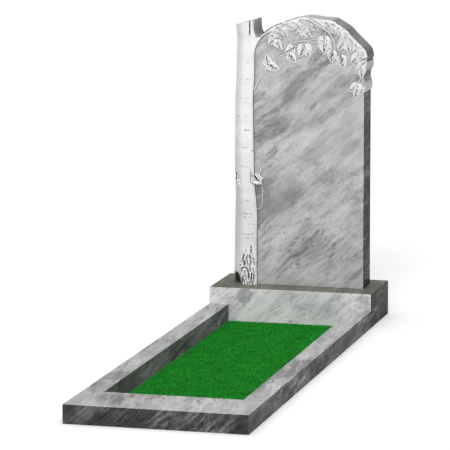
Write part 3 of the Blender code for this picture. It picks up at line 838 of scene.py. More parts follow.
def bark(along, up):
    """Lift of the bark in mm and its darkening, painted shade in slits, cracks, hollows and between the
    fibres of the foot, `along` being mm round the trunk from the drawing's zero.
    """
    swell = noise.noise(Vector((along / 70, up / 150, 1.0)))
    curl = noise.noise(Vector((along / 35, up / 4.5, 5.0)))
    lift = 1.3 * swell + 0.28 * curl
    shade_and_veil = 0.0
    for x, z, half_long, half_high, depth in SLITS:
        if abs(up - z) > 14 or abs(along - x) > half_long * 1.3:
            continue
        sag = 1.4 * noise.noise(Vector((along / 9, z / 5, 2.0)))
        broken = 0.3 + 0.7 * step_between(-0.2, 0.2, noise.noise(Vector((along / 7, z, 12.0))))
        reach = max(0.0, 1 - ((along - x) / half_long) ** 2) * broken
        off = abs(up - z - sag) / half_high
        cut = max(0.0, 1 - off ** 2) * reach ** 0.5
        lift -= depth * cut
        lift += 0.5 * max(0.0, 1 - ((off - 1.9) / 0.9) ** 2) * reach
        # The slit is painted dark by its depth: painted shade
        shade_and_veil = max(shade_and_veil, cut * min(0.95, 0.45 * depth))
    rough = 1 - step_between(FOOT_TOP * 0.72, FOOT_TOP, up + 14 * noise.noise(Vector((along / 12, 0, 4))))
    if along > -300:
        rough *= step_between(ROUGH_FROM - 4, ROUGH_FROM + 2, along)
    if rough > 0:
        plates = noise.noise(Vector((along / 7, up / 24, 7.0)))
        fibres = noise.noise(Vector((along / 2.6, up / 13, 8.0)))
        lift += rough * (1.8 * plates + 0.9 * fibres + 0.8)
        # Painted shade between the fibres of the foot
        shade_and_veil = max(shade_and_veil, rough * 0.5 * max(0.0, -fibres - 0.12))
    for half, depth, recess_shade, line, box in crack_lines:
        if not (box[0] < along < box[2] and box[1] < up < box[3]):
            continue
        gap, whole = crack_at(line, along + 1.1 * noise.noise(Vector((along / 4, up / 5, 6.0))), up)
        wide = half * (1 + 0.6 * noise.noise(Vector((along / 9, up / 7, 11.0))))
        lift -= depth * whole * max(0.0, 1 - (gap / (1.3 * wide)) ** 2)
        lift += 0.7 * whole * max(0.0, 1 - ((gap - 2.1 * wide) / wide) ** 2)
        shade_and_veil = max(shade_and_veil, recess_shade * (1 - step_between(0.8 * wide * whole, 1.9 * wide * whole, gap)))
    for x, z, half_wide, half_high, depth, recess_shade in HOLLOWS:
        away = ((along - x) / half_wide) ** 2 + ((up - z) / half_high) ** 2
        if away < 1.5:
            lift -= depth * max(0.0, 1 - away) ** 0.6
            shade_and_veil = max(shade_and_veil, recess_shade * (1 - step_between(0.7, 1.5, away)))
    return lift, shade_and_veil


print("slits in the bark:", len(SLITS), "cracks:", len(CRACKS))

# %% [markdown]
# ## Skinning the trunk
# Each ring follows the trunk's width at its height. The last tenth of the rings tilts little by
# little into the saw cut, which keeps every ring flat enough to close with one face at the top.
# The slope of the ring gives the direction in which the bark moves, and points that lie against
# the field hardly move at all, so that no gap opens between the trunk and the slab.

# %% Build the trunk
FOOT_RING = 1.25
HIGH_RING = 2.4
BRANCH_FROM, BRANCH_TO = 420.0, 510.0
# Shares of the darkening: a thin veil everywhere, more of it towards the bottom, less at the foot, and
# painted shade added on the left side, turned from the lamps
VEIL, VEIL_LOW, FOOT_LESS = 0.05, 0.085, 0.13
SIDE_SHADE, SIDE_SHADE_LOW = 0.11, 0.12
# Above the slab's shoulder the trunk's right side stands free, and its painted shade is lighter there
FREE_FROM = 1050


def veil_and_side_shade(share, up):
    """A thin veil of darkening on the bark, darker towards the bottom and lighter at the foot, with painted
    shade on the side turned from the lamps.
    """
    low = 1 - step_between(380, 680, up)
    at_foot = 1 - step_between(100, 190, up)
    side = 1 - step_between(0.2, CORNER_AT + 0.05, share)
    return VEIL + VEIL_LOW * low - FOOT_LESS * at_foot + (SIDE_SHADE + SIDE_SHADE_LOW * low) * side


def trunk_ring(up):
    """Places, lifts and darkening of one ring round the trunk, most of it painted shade."""
    left, right = between(trunk_sides, up)
    tilt = max(0.0, (up / TRUNK_HEIGHT - CUT_TILTS_FROM) / (1 - CUT_TILTS_FROM))
    flat = []
    for share, forward, _ in profile:
        x = left + (right - left) * share
        if forward < trunk_front(0.0) and share == 0.0:
            x += SIDE_TAPER * (trunk_front(0.0) - forward) / (SLAB_DEPTH + trunk_front(0.0))
        flat.append((x, forward))
    ring, tone_marks = [], []
    for i, (x, forward) in enumerate(flat):
        share, _, loose = profile[i]
        before, after = flat[max(i - 1, 0)], flat[min(i + 1, len(flat) - 1)]
        run = Vector((after[0] - before[0], after[1] - before[1])).normalized()
        outward = Vector((-run.y, run.x))
        along = x if forward > trunk_front(0.0) else left - (trunk_front(0.0) - forward)
        if share == 1.0:
            along = right + (trunk_front(1.0) - forward)
        lift, shade_and_veil = bark(along, up)
        lift *= loose
        shade_and_veil = max(shade_and_veil, veil_and_side_shade(share, up))
        # The right flank is painted dark, fully below the shoulder and above it more towards the back and the
        # cut: painted shade
        if share == 1.0 and forward < trunk_front(1.0):
            back_share = (trunk_front(1.0) - forward) / (trunk_front(1.0) + SLAB_DEPTH)
            shaded = 0.27 + 0.3 * back_share + 0.3 * (TRUNK_HEIGHT - up) / 62
            shade_and_veil = max(shade_and_veil, 1.0 if up < FREE_FROM else shaded)
        x += outward.x * lift
        forward += outward.y * lift
        cut = CUT_LEFT + (CUT_RIGHT - CUT_LEFT) * (x - left) / (right - left)
        ring.append(on_stone(x, up + (cut - TRUNK_HEIGHT) * tilt, forward))
        tone_marks.append(shade_and_veil)
    return ring, tone_marks


heights = []
for start, end, spacing in ((0, FOOT_TOP, FOOT_RING), (FOOT_TOP, BRANCH_FROM, HIGH_RING),
                            (BRANCH_FROM, BRANCH_TO, FOOT_RING), (BRANCH_TO, TRUNK_HEIGHT, HIGH_RING)):
    rings = round((end - start) / spacing)
    heights += [start + (end - start) * k / rings for k in range(rings)]
heights.append(TRUNK_HEIGHT)
points, shade_and_veil = [], []
for up in heights:
    ring, tone_marks = trunk_ring(up)
    points += ring
    shade_and_veil += tone_marks
trunk = item_from("birch_trunk", points, skin(len(heights), len(profile)), [carved_marble], 50.0)
store(trunk, SHADE_AND_VEIL, shade_and_veil)
print("trunk triangles:", triangles(trunk))

# %% [markdown]
# ## Broken branches
# Two branches broke off the trunk. The right one left a torn collar round a dark hollow, a horn of
# wood and a strip of bark, and the left one a short splinter. Torn wood has no outline to draw, so
# it is modelled like clay: plain tapering rods are pushed together, and a voxel remesh melts them
# into one skin, which is then smoothed.

# %% Build the torn wood
# Rods: (points as across, up, forward), start radius, end radius
TORN_RIGHT = [
    ([(-195, 499, 17), (-191, 480, 19), (-188, 460, 19), (-184, 446, 18)], 0.8, 6.5),
    ([(-193, 495, 16), (-185, 480, 16), (-179, 466, 14)], 0.8, 5.0),
    ([(-189, 456, 17), (-184, 443, 17), (-173, 437, 16), (-160, 436, 14), (-149, 442, 9)], 6.0, 7.5),
    ([(-153, 500, 6), (-157, 484, 9), (-161, 470, 12), (-158, 456, 12)], 0.9, 9.0),
    ([(-166, 458, 10), (-153, 457, 9), (-145, 453, 6)], 9.5, 7.5),
    ([(-158, 447, 9), (-149, 446, 7)], 9.5, 8.5),
    ([(-151, 460, 6), (-141, 466, 2)], 5.0, 1.4),
    ([(-182, 474, 4), (-166, 444, 4)], 9.0, 12.0),
    ([(-196, 448, 0), (-160, 450, -2)], 13.0, 12.0),
]
TORN_LEFT = [
    ([(-268, 466, -28), (-259, 452, -8), (-251, 440, 4)], 1.0, 3.8),
    ([(-251, 440, 4), (-246, 431, 11), (-240, 422, 16), (-233, 413, 18)], 3.8, 0.8),
]
# Middle (across, up), half width, half length, turn from upright in degrees, and depth
HOLLOW = ((-172, 457.5), 3.9, 13.5, -37.0, 16.0)
# Tears in the wood: half width, depth, painted shade, and the line as (across, up)
TEARS = [
    (1.1, 1.8, 0.9, [(-150, 490), (-152.5, 478), (-151, 467), (-142, 461)]),
    (1.0, 1.5, 0.7, [(-168, 445), (-157, 447), (-145, 440)]),
    (1.0, 1.5, 0.8, [(-190, 482), (-187.5, 466), (-184, 452), (-177, 444)]),
    (0.9, 1.3, 0.6, [(-160, 466), (-152, 456), (-141, 452)]),
    (0.9, 1.2, 0.5, [(-180, 436), (-166, 432), (-154, 435)]),
    (0.9, 1.2, 0.6, [(-159, 492), (-160, 478), (-164, 468)]),
]
CLAY_VOXEL = 0.9 * MM


def rod_rings(route, start, end, sides=18):
    """Rings of points round a tapering rod."""
    rings = []
    for i, here in enumerate(route):
        run = (route[min(i + 1, len(route) - 1)] - route[max(i - 1, 0)]).normalized()
        side = run.cross(Vector((0, 1, 0))).normalized()
        out = side.cross(run)
        radius = (start + (end - start) * i / (len(route) - 1)) * MM
        rings.append([here + (side * math.cos(a) + out * math.sin(a)) * radius
                      for a in (2 * math.pi * k / sides for k in range(sides))])
    return rings


def clay(name, rods):
    """Rods melted into one smooth skin."""
    points, faces = [], []
    for route, start, end in rods:
        curve = smooth_route(route, 6) if len(route) > 2 else route
        rings = rod_rings([on_stone(*p) for p in curve], start, end)
        faces += skin(len(rings), len(rings[0]), len(points))
        points += [p for ring in rings for p in ring]
    item = item_from(name, points, faces, [carved_marble])
    melt = item.modifiers.new("melt", "REMESH")
    melt.mode = "VOXEL"
    melt.voxel_size = CLAY_VOXEL
    melt.use_smooth_shade = True
    ease = item.modifiers.new("ease", "SMOOTH")
    ease.factor = 0.5
    ease.iterations = 3
    return settle(item)


FIBRE_TURN = math.radians(24)
FIBRE_WIDTH = 3.0
FIBRE_DEPTH = 1.3


def carve_fibres(item, tears=(), hollow=None):
    """Grooves along the torn fibres, drawn tears, and a hollow pushed into the wood, each painted dark:
    painted shade.
    """
    shade_and_veil = []
    lines = [(half, depth, recess_shade, smooth_route(route, 4)) for half, depth, recess_shade, route in tears]
    for vertex in item.data.vertices:
        at = vertex.co.copy()
        x = (at.x - MIDDLE_X) / MM
        z = (at.z - stele_low.z) / MM
        side = x * math.cos(FIBRE_TURN) + z * math.sin(FIBRE_TURN)
        run = z * math.cos(FIBRE_TURN) - x * math.sin(FIBRE_TURN)
        grain = noise.noise(Vector((side / FIBRE_WIDTH, run / 16, at.y / MM / 9)))
        recess_shade = 1.5 * max(0.0, -grain - 0.08)
        for half, depth, dark, line in lines:
            gap, whole = crack_at(line, x + 0.8 * grain, z)
            vertex.co.y += depth * whole * max(0.0, 1 - (gap / (1.4 * half)) ** 2) * MM
            recess_shade = max(recess_shade, dark * (1 - step_between(0.7 * half * whole, 1.8 * half * whole, gap)))
        if hollow:
            (hx, hz), wide, high, turn, deep = hollow
            c, s = math.cos(math.radians(turn)), math.sin(math.radians(turn))
            across, along = (x - hx) * c - (z - hz) * s, (x - hx) * s + (z - hz) * c
            away = (across / wide) ** 2 + (along / high) ** 2
            if away < 1.6:
                vertex.co.y += deep * max(0.0, 1 - away) ** 0.5 * MM
                recess_shade = max(recess_shade, 1 - step_between(0.8, 1.6, away))
        vertex.co += vertex.normal * FIBRE_DEPTH * grain * MM
        shade_and_veil.append(recess_shade)
    store(item, SHADE_AND_VEIL, shade_and_veil)


torn_right = clay("torn_branch_right", TORN_RIGHT)
carve_fibres(torn_right, TEARS, HOLLOW)
torn_left = clay("torn_branch_left", TORN_LEFT)
carve_fibres(torn_left)
print("torn wood faces:", len(torn_right.data.polygons), len(torn_left.data.polygons))

# %% [markdown]
# ## A carved leaf
# A birch leaf has a broad straight foot, runs to a long point and has teeth along its margin. The carver
# leaves it domed, cuts the midrib and the side veins as grooves, and undercuts the margin. It is drawn once
# as a grid between the two margins. The height of each point comes from its distance to the midrib and to the
# nearest vein: the stone swells like a pillow between two veins. The grooves, the chisel pits and the walls
# under the margin are painted dark, most of it near the midrib: painted shade. Three versions, each with its
# own bend and waves, are enough for a whole bough, because every place turns and stretches them differently.

# %% Carve the leaves to copy
LEAF_LENGTH = 48.0
LEAF_WIDTH = 34.0
LEAF_RELIEF = 12.0
LEAF_TEETH = 8
LEAF_FOOT = 4.0
# Half the width at shares of the length
LEAF_OUTLINE = smooth_route([
    (0.0, 0.40), (0.03, 0.66), (0.10, 0.88), (0.22, 1.0), (0.36, 0.99), (0.50, 0.85), (0.64, 0.62),
    (0.78, 0.36), (0.90, 0.15), (1.0, 0.02),
], 4)
# Side veins: where each leaves the midrib, and how deep it is cut
VEINS = [(0.02, 1.0), (0.20, 0.9), (0.37, 1.0), (0.54, 0.7)]
VEIN_ANGLE = math.radians(43)
MIDRIB_HALF = 1.7
VEIN_HALF = 1.35


def leaf_half_width(t):
    """Half the leaf's width at a share of its length, with teeth that point to the tip."""
    tooth = (t * LEAF_TEETH) % 1.0
    teeth = 0.2 * (0.5 - tooth) * step_between(0.02, 0.12, t) * (1.2 - t)
    return LEAF_WIDTH / 2 * between(LEAF_OUTLINE, t)[0] * (1 + teeth)


def leaf_height(x, y, t, s, wave, side_depth):
    """Height over the field in mm, and how dark it is painted in grooves and pits, painted shade, of a point
    on the leaf.
    """
    dome = (1 - abs(s) ** 2.4) * (0.6 + 0.4 * math.sin(math.pi * min(1.0, t * 1.05)))
    lift = 4.6 + 5.2 * dome + 1.4 * math.sin(3.2 * t + wave) * s - 1.8 * t ** 3
    gap = abs(x) / (1.25 - 0.55 * t)
    groove = max(0.0, 1 - (gap / MIDRIB_HALF) ** 2) * (1 - 0.5 * step_between(0.7, 1.0, t))
    nearest = gap
    deep = side_depth if x < 0 else 1.6 - side_depth
    for start, strength in VEINS:
        rise = abs(y - start * LEAF_LENGTH - abs(x) / math.tan(VEIN_ANGLE)) * math.sin(VEIN_ANGLE)
        nearest = min(nearest, rise)
        fade = strength * deep * (1 - 0.6 * step_between(0.25, 0.95, abs(s)))
        groove = max(groove, fade * max(0.0, 1 - (rise / VEIN_HALF) ** 2))
    pillow = 1.7 * (1 - math.exp(-(nearest / 2.4) ** 2)) * (1 - 0.5 * abs(s))
    # Pits where the chisel dug in between the veins, painted dark inside: painted shade
    pit = step_between(0.27, 0.42, noise.noise(Vector((x / 5.0, y / 5.0, 5 * wave + 3.0))))
    pit *= (1 - step_between(0.3, 0.7, abs(s))) * (1 - step_between(0.7, 0.9, t))
    return lift + pillow - 2.4 * groove - 1.7 * pit, max(groove * (0.85 - 0.4 * abs(s)), 0.8 * pit)


def carve_leaf(name, rows, columns, bend, wave, recess_shade):
    """One leaf on the origin, its tip along +Y, its face towards +Z."""
    top, shade_and_veil = [], []
    side_depth = 1.0 if bend > 0 else 0.6
    for r in range(rows + 1):
        t = r / rows
        half = leaf_half_width(t)
        y = t * LEAF_LENGTH - LEAF_FOOT
        for c in range(columns + 1):
            s = 2 * c / columns - 1
            x = half * s
            height, groove = leaf_height(x, t * LEAF_LENGTH, t, s, wave, side_depth)
            top.append((x + bend * (t * t - 0.2 * t), y, height))
            shade_and_veil.append(recess_shade * min(1.0, 1.25 * groove))
    wide = columns + 1
    rim = [c for c in range(wide)] + [r * wide + columns for r in range(1, rows + 1)]
    rim += [rows * wide + c for c in range(columns - 1, -1, -1)] + [r * wide for r in range(rows - 1, 0, -1)]
    points = list(top)
    faces = [(r * wide + c, r * wide + c + 1, (r + 1) * wide + c + 1, (r + 1) * wide + c)
             for r in range(rows) for c in range(columns)]
    previous = rim
    # The walls under the margin are painted darker as they go down: painted shade round the leaf
    for drop, wall_shade in ((1.2, 0.05), (3.4, 0.3), (None, 0.7)):
        ring = []
        for i in rim:
            x, y, z = top[i]
            ring.append(len(points))
            points.append((x, y, -KEYED_IN if drop is None else max(0.3, z - drop)))
            shade_and_veil.append(wall_shade)
        for i in range(len(rim)):
            j = (i + 1) % len(rim)
            faces.append((previous[i], previous[j], ring[j], ring[i]))
        previous = ring
    faces.append(tuple(reversed(previous)))
    item = item_from(name, [Vector(p) * MM for p in points], faces, [carved_marble], 60.0)
    store(item, SHADE_AND_VEIL, shade_and_veil)
    return item


leaf_patterns = bpy.data.collections.new("leaf patterns")
small_patterns = bpy.data.collections.new("small leaf patterns")
for group in (leaf_patterns, small_patterns):
    bpy.context.scene.collection.children.link(group)
for n, (bend, wave) in enumerate([(2.4, 0.0), (-2.8, 2.1), (0.8, 4.2)]):
    for group, rows, columns, recess_shade, word in (
            (leaf_patterns, 54, 34, 1.0, "leaf"), (small_patterns, 26, 16, 0.75, "small_leaf")):
        pattern = carve_leaf("%s_%d" % (word, n), rows, columns, bend, wave, recess_shade)
        bpy.context.scene.collection.objects.unlink(pattern)
        group.objects.link(pattern)
        print(pattern.name, len(pattern.data.polygons), "faces")

# %% [markdown]
# ## Copies by Geometry Nodes
# The leaves and the grass repeat one small shape many times, which is what Geometry Nodes are for.
# A tree takes a cloud of points, puts a pattern on each and turns and stretches it by numbers that
# the points carry. The copies are made real at the end, because an export drops instances. Inputs
# have names, so the same tree serves the big leaves and the small ones.

# %% Helpers for node trees


def new_tree(name, sockets):
    """A geometry tree with named inputs; returns the tree, its input node and its output node."""
    tree = bpy.data.node_groups.new(name, "GeometryNodeTree")
    tree.interface.new_socket("Geometry", in_out="INPUT", socket_type="NodeSocketGeometry")
    for label, kind in sockets:
        tree.interface.new_socket(label, in_out="INPUT", socket_type=kind)
    tree.interface.new_socket("Geometry", in_out="OUTPUT", socket_type="NodeSocketGeometry")
    return tree, tree.nodes.new("NodeGroupInput"), tree.nodes.new("NodeGroupOutput")


def end_tree(tree, geometry, given, result):
    """Makes the copies real, gives them the finish and sends them out of the tree."""
    real = node(tree, "GeometryNodeRealizeInstances", {0: geometry})
    painted = node(tree, "GeometryNodeSetMaterial", {
        "Geometry": real.outputs[0], "Material": given.outputs["Finish"],
    })
    tree.links.new(painted.outputs["Geometry"], result.inputs["Geometry"])


def grow(name, base, tree, values):
    """Runs the tree on the base object and returns the result as a plain mesh object."""
    step = base.modifiers.new("grow", "NODES")
    step.node_group = tree
    for socket in tree.interface.items_tree:
        if socket.in_out == "INPUT" and socket.name in values:
            step[socket.identifier] = values[socket.name]
    bpy.context.scene.collection.objects.link(base)
    mesh = plain_mesh(base)
    mesh.name = name
    item = bpy.data.objects.new(name, mesh)
    bpy.context.scene.collection.objects.link(item)
    bpy.data.objects.remove(base, do_unlink=True)
    return item


# %% The tree that lays leaves
leaf_tree, given, result = new_tree("lay leaves", [
    ("Patterns", "NodeSocketCollection"), ("Finish", "NodeSocketMaterial"),
    ("Lean", "NodeSocketFloat"), ("Seed", "NodeSocketInt"),
])
patterns = node(leaf_tree, "GeometryNodeCollectionInfo", {
    "Collection": given.outputs["Patterns"], "Separate Children": True, "Reset Children": True,
})
facing = node(leaf_tree, "GeometryNodeInputNamedAttribute", {"Name": "facing"}, data_type="FLOAT_VECTOR")
size = node(leaf_tree, "GeometryNodeInputNamedAttribute", {"Name": "size"}, data_type="FLOAT_VECTOR")
turned = node(leaf_tree, "FunctionNodeEulerToRotation", {"Euler": facing.outputs["Attribute"]})
placed = node(leaf_tree, "GeometryNodeInstanceOnPoints", {
    "Points": given.outputs["Geometry"], "Instance": patterns.outputs["Instances"], "Pick Instance": True,
    "Instance Index": node(leaf_tree, "GeometryNodeInputIndex").outputs["Index"],
    "Rotation": turned.outputs[0], "Scale": size.outputs["Attribute"],
})
# The lean is drawn at random between these two ends
least, most = [node(leaf_tree, "ShaderNodeVectorMath", {
    0: given.outputs["Lean"], 1: (way, way, 0.0),
}, operation="MULTIPLY").outputs["Vector"] for way in (-1.0, 1.0)]
sway = node(leaf_tree, "FunctionNodeRandomValue", {
    "Min": least, "Max": most, "Seed": given.outputs["Seed"],
}, data_type="FLOAT_VECTOR")
swayed = node(leaf_tree, "GeometryNodeRotateInstances", {
    "Instances": placed.outputs["Instances"], "Local Space": True,
    "Rotation": node(leaf_tree, "FunctionNodeEulerToRotation", {"Euler": sway.outputs[0]}).outputs[0],
})
end_tree(leaf_tree, swayed.outputs["Instances"], given, result)


def leaf_points(name, places):
    """A cloud of points for the tree; places are (point, turn from straight up, length, width, relief)."""
    mesh = bpy.data.meshes.new(name)
    mesh.from_pydata([tuple(p[0]) for p in places], [], [])
    facing = mesh.attributes.new("facing", "FLOAT_VECTOR", "POINT")
    size = mesh.attributes.new("size", "FLOAT_VECTOR", "POINT")
    for i, (_, turn, length, width, relief) in enumerate(places):
        facing.data[i].vector = (math.pi / 2, math.radians(turn), 0.0)
        size.data[i].vector = (width / LEAF_WIDTH, length / LEAF_LENGTH, relief / LEAF_RELIEF)
    return bpy.data.objects.new(name, mesh)


# %% [markdown]
# ## Sprays of leaves
# The leaves hang alone or in groups of two to five from the ends of the twigs. The drawing gives
# each spray's point and, for each leaf, its turn from straight up, its length and its width. A tilt
# of a few degrees lifts one margin over its neighbour's, which keeps the leaves apart as shapes.

# %% Lay the sprays
SPRAYS = [
    (-122, 943, [(-16, 46, 34), (118, 57, 34)]),
    (-97, 1052, [(-139, 40, 30), (140, 62, 33), (-30, 42, 30), (84, 36, 24)]),
    (-61, 1102, [(153, 52, 35)]),
    (27, 1090, [(-29, 36, 33), (-120, 40, 32), (124, 50, 32), (172, 42, 28), (45, 32, 26)]),
    (68, 1114, [(134, 38, 28)]),
    (119, 1061, [(-154, 58, 34), (180, 78, 44), (150, 64, 36)]),
    (153, 1006, [(-173, 54, 36)]),
    (205, 1054, [(-150, 54, 37), (150, 61, 38)]),
    (191, 986, [(171, 60, 38)]),
    (264, 991, [(-136, 50, 32)]),
    (275, 946, [(42, 36, 30), (-147, 42, 25), (174, 54, 34)]),
    (262, 866, [(-128, 48, 32), (137, 40, 28), (-170, 66, 30)]),
    (-14, 1015, [(-122, 46, 34)]),
    (-30, 986, [(144, 48, 32)]),
    (33, 1025, [(-158, 54, 42), (149, 57, 40)]),
]
# Each leaf is laid a little under its point, and a little fuller and longer than drawn
SPRAY_DROP = 3.5
FULLER = 1.22
LONGER = 1.04
places = []
for x, z, blades in SPRAYS:
    for turn, length, width in blades:
        length, width = (length + LEAF_FOOT) * LONGER, width * FULLER
        relief = LEAF_RELIEF + (len(places) % 3)
        places.append((on_stone(x, z - SPRAY_DROP), turn, length, width, relief))
spray_leaves = grow("spray_leaves", leaf_points("spray points", places), leaf_tree, {
    "Patterns": leaf_patterns, "Finish": carved_marble, "Lean": math.radians(5), "Seed": 4,
})
print("spray leaves:", len(places), "triangles:", triangles(spray_leaves))

# %% Lay the leaves of the band
BAND_LEAVES = 14
BAND_LEAF_LENGTH = 38.0
BAND_LEAF_WIDTH = 26.0
BAND_LEAF_RELIEF = 16.0
BAND_LEAF_STEP = 1.3
# Rows: distance from the slab's edge, and the lean of every other leaf in degrees
BAND_LEAF_ROWS =((11.0, 2, 14), (18.0, 16, 34), (25.0, 34, 62))
outer = smooth_route(ARCH, 6)
places = []
for row, (inward, *leans) in enumerate(BAND_LEAF_ROWS):
    for n in range(BAND_LEAVES):
        at = (n + 0.3 + 0.33 * row) / (BAND_LEAVES + 0.6) * (len(outer) - 1)
        i = int(at)
        here = Vector(outer[i]).lerp(Vector(outer[i + 1]), at - i)
        run = (Vector(outer[i + 1]) - Vector(outer[i])).normalized()
        # The first leaves lie a little further in and leave the shoulder's edge bare
        inside = here + Vector((run.y, -run.x)) * (inward + max(0.0, 5.0 - 2 * n))
        turn = math.degrees(math.atan2(run.x, run.y)) + leans[n % 2]
        relief = BAND_LEAF_RELIEF + BAND_LEAF_STEP * ((n + row) % 3)
        places.append((on_stone(*inside), turn, BAND_LEAF_LENGTH, BAND_LEAF_WIDTH, relief))
band_leaves = grow("band_leaves", leaf_points("band points", places), leaf_tree, {
    "Patterns": small_patterns, "Finish": carved_marble, "Lean": math.radians(4), "Seed": 9,
})
for group in (leaf_patterns, small_patterns):
    for pattern in list(group.objects):
        bpy.data.objects.remove(pattern, do_unlink=True)
    bpy.data.collections.remove(group)
# The saw trimmed whatever stood over the block's top
for piece in (slab, band, band_leaves):
    for vertex in piece.data.vertices:
        vertex.co.z = min(vertex.co.z, stele_high.z - 0.05 * MM)
print("band leaves:", len(places))

# %% [markdown]
# ## Twigs
# A twig is a rod that tapers, half sunk in the field. Its route is a smooth curve through a few
# points of the drawing, and a node tree turns the curve into a rod whose thickness follows the
# radius stored along it. A little noise along the rod gives the swellings of young wood.

# %% The tree that turns curves into twigs
twig_tree, given, result = new_tree("round twigs", [
    ("Sides", "NodeSocketInt"), ("Swelling", "NodeSocketFloat"), ("Spacing", "NodeSocketFloat"),
    ("Finish", "NodeSocketMaterial"),
])
ring = node(twig_tree, "GeometryNodeCurvePrimitiveCircle", {
    "Resolution": given.outputs["Sides"], "Radius": 1.0,
})
rod = node(twig_tree, "GeometryNodeCurveToMesh", {
    "Curve": given.outputs["Geometry"], "Profile Curve": ring.outputs["Curve"], "Fill Caps": True,
    "Scale": node(twig_tree, "GeometryNodeInputRadius").outputs["Radius"],
})
knots = node(twig_tree, "ShaderNodeTexNoise", {"Scale": given.outputs["Spacing"], "Detail": 2.0})
centred = node(twig_tree, "ShaderNodeMath", {0: knots.outputs["Fac"], 1: 0.5}, operation="SUBTRACT")
amount = node(twig_tree, "ShaderNodeMath", {
    0: centred.outputs["Value"], 1: given.outputs["Swelling"],
}, operation="MULTIPLY")
outwards = node(twig_tree, "ShaderNodeVectorMath", {
    0: node(twig_tree, "GeometryNodeInputNormal").outputs["Normal"], "Scale": amount.outputs["Value"],
}, operation="SCALE")
swollen = node(twig_tree, "GeometryNodeSetPosition", {
    "Geometry": rod.outputs["Mesh"], "Offset": outwards.outputs["Vector"],
})
rounded = node(twig_tree, "GeometryNodeSetShadeSmooth", {"Geometry": swollen.outputs["Geometry"]})
end_tree(twig_tree, rounded.outputs["Geometry"], given, result)

# %% Lay the twigs
# Twigs: start and end radius, and the route as (across, up) or (across, up, forward), in mm
TWIGS = [
    (4.0, 2.4, [(-188, 828), (-162, 872), (-138, 905), (-118, 936), (-114, 946)]),
    (2.6, 2.4, [(-106, 940), (-92, 954), (-76, 975), (-52, 983), (-26, 984)]),
    (3.0, 3.6, [(-60, 1004), (-43, 1024), (0, 1038), (42, 1044), (92, 1037), (118, 1050)]),
    (2.4, 2.6, [(36, 1058), (64, 1051), (100, 1052)]),
    (5.5, 3.4, [
        (58, 1134, 14), (97, 1113, 15), (132, 1089, 9), (152, 1063, 1), (162, 1036, 0), (165, 1006, 0),
    ]),
    (3.4, 2.4, [(129, 1094), (123, 1080), (121, 1058)]),
    (2.2, 2.8, [(178, 974), (196, 992), (212, 1012)]),
    (3.4, 2.6, [(211, 1082), (208, 1050)]),
    (3.4, 2.4, [(273, 946), (280, 903), (272, 888), (262, 862)]),
    (3.6, 3.0, [(270, 1004), (274, 975), (274, 944)]),
    (2.3, 1.8, [(-150, 446), (-148, 400), (-149, 350), (-156, 328), (-168, 324), (-177, 340)]),
    (1.9, 1.2, [(-149, 392), (-145, 400), (-141, 410)]),
]
TWIG_SEAT = 0.5
route_data = bpy.data.curves.new("twig routes", "CURVE")
route_data.dimensions = "3D"
for start, end, route in TWIGS:
    path = smooth_route(route, 8)
    spline = route_data.splines.new("POLY")
    spline.points.add(len(path) - 1)
    for i, (x, z, *over) in enumerate(path):
        radius = start + (end - start) * i / (len(path) - 1)
        spline.points[i].co = (*on_stone(x, z, radius * TWIG_SEAT + sum(over)), 1.0)
        spline.points[i].radius = radius * MM
twigs = grow("twigs", bpy.data.objects.new("twig routes", route_data), twig_tree, {
    "Sides": 14, "Swelling": 1.0 * MM, "Spacing": 120.0, "Finish": carved_marble,
})
# Painted shade along both sides of a twig, darker where its skin turns away from the front
store(twigs, SHADE_AND_VEIL, [0.85 - 0.7 * step_between(0.3, 0.97, -v.normal.y) for v in twigs.data.vertices])
print("twig faces:", len(twigs.data.polygons))

# %% [markdown]
# ## Kerb and plinth
# Sawn blocks need little: true sides, softened arrises, and the right finish on each face. The tops of the
# rails and the face of the plinth are honed and pale. Every other side is polished and takes dark tones,
# painted dark reflection and painted shade, and the plinth's top has the brownish cast of the slab's ledge,
# darkened the same way. The arris is 2 mm, rounded with three segments.

# %% Build the blocks
ARRIS = 2 * MM


def box_shape(low, high):
    """Corners and faces of a box between two opposite corners."""
    corners = [(x, y, z) for z in (low.z, high.z) for x, y in (
        (low.x, low.y), (high.x, low.y), (high.x, high.y), (low.x, high.y))]
    faces = [(0, 1, 2, 3), (4, 5, 6, 7)] + [(i, (i + 1) % 4, 4 + (i + 1) % 4, 4 + i) for i in range(4)]
    return corners, faces


def stone_block(name, cad_node, finish_of):
    """A block in the place of a CAD node, its finishes chosen by the way each face looks."""
    low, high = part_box(cad_node)
    finishes = list(dict.fromkeys(finish_of.values()))
    block = item_from(name, *box_shape(low, high), finishes)
    for face in block.data.polygons:
        way = max(finish_of, key=lambda side: face.normal.dot(Vector(side)))
        face.material_index = finishes.index(finish_of[way])
    soften(block, ARRIS, 3)
    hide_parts(cad_node)
    print(name, "%.0f x %.0f x %.0f mm" % tuple((high - low) / MM))
    return block


UP, FRONT, RIGHT = (0, 0, 1), (0, -1, 0), (1, 0, 0)
DOWN, BACK, LEFT = (0, 0, -1), (0, 1, 0), (-1, 0, 0)
# Each face takes its tones by the way it faces: pale honed tones on top, and on the sides dark tones of
# painted dark reflection and painted shade
rail_finish = {RIGHT: kerb_marble, BACK: kerb_marble, LEFT: kerb_marble, FRONT: sides_marble_painted_dark,
               UP: honed_marble, DOWN: sawn_marble}
plinth_finish = {side: sides_marble_painted_dark for side in (RIGHT, BACK, LEFT)}
plinth_finish.update({UP: ledge_marble, FRONT: plinth_marble, DOWN: sawn_marble})
# The side of each rail that looks into the bed is honed, in darker tones: painted shade
rails = [stone_block(name, cad_node, {**rail_finish, inside: inner_marble}) for name, cad_node, inside in (
    ("front_rail", "kerb_front", BACK), ("left_rail", "kerb_left", RIGHT),
    ("right_rail", "kerb_right", LEFT),
)]
plinth = stone_block("plinth_block", "plinth", plinth_finish)

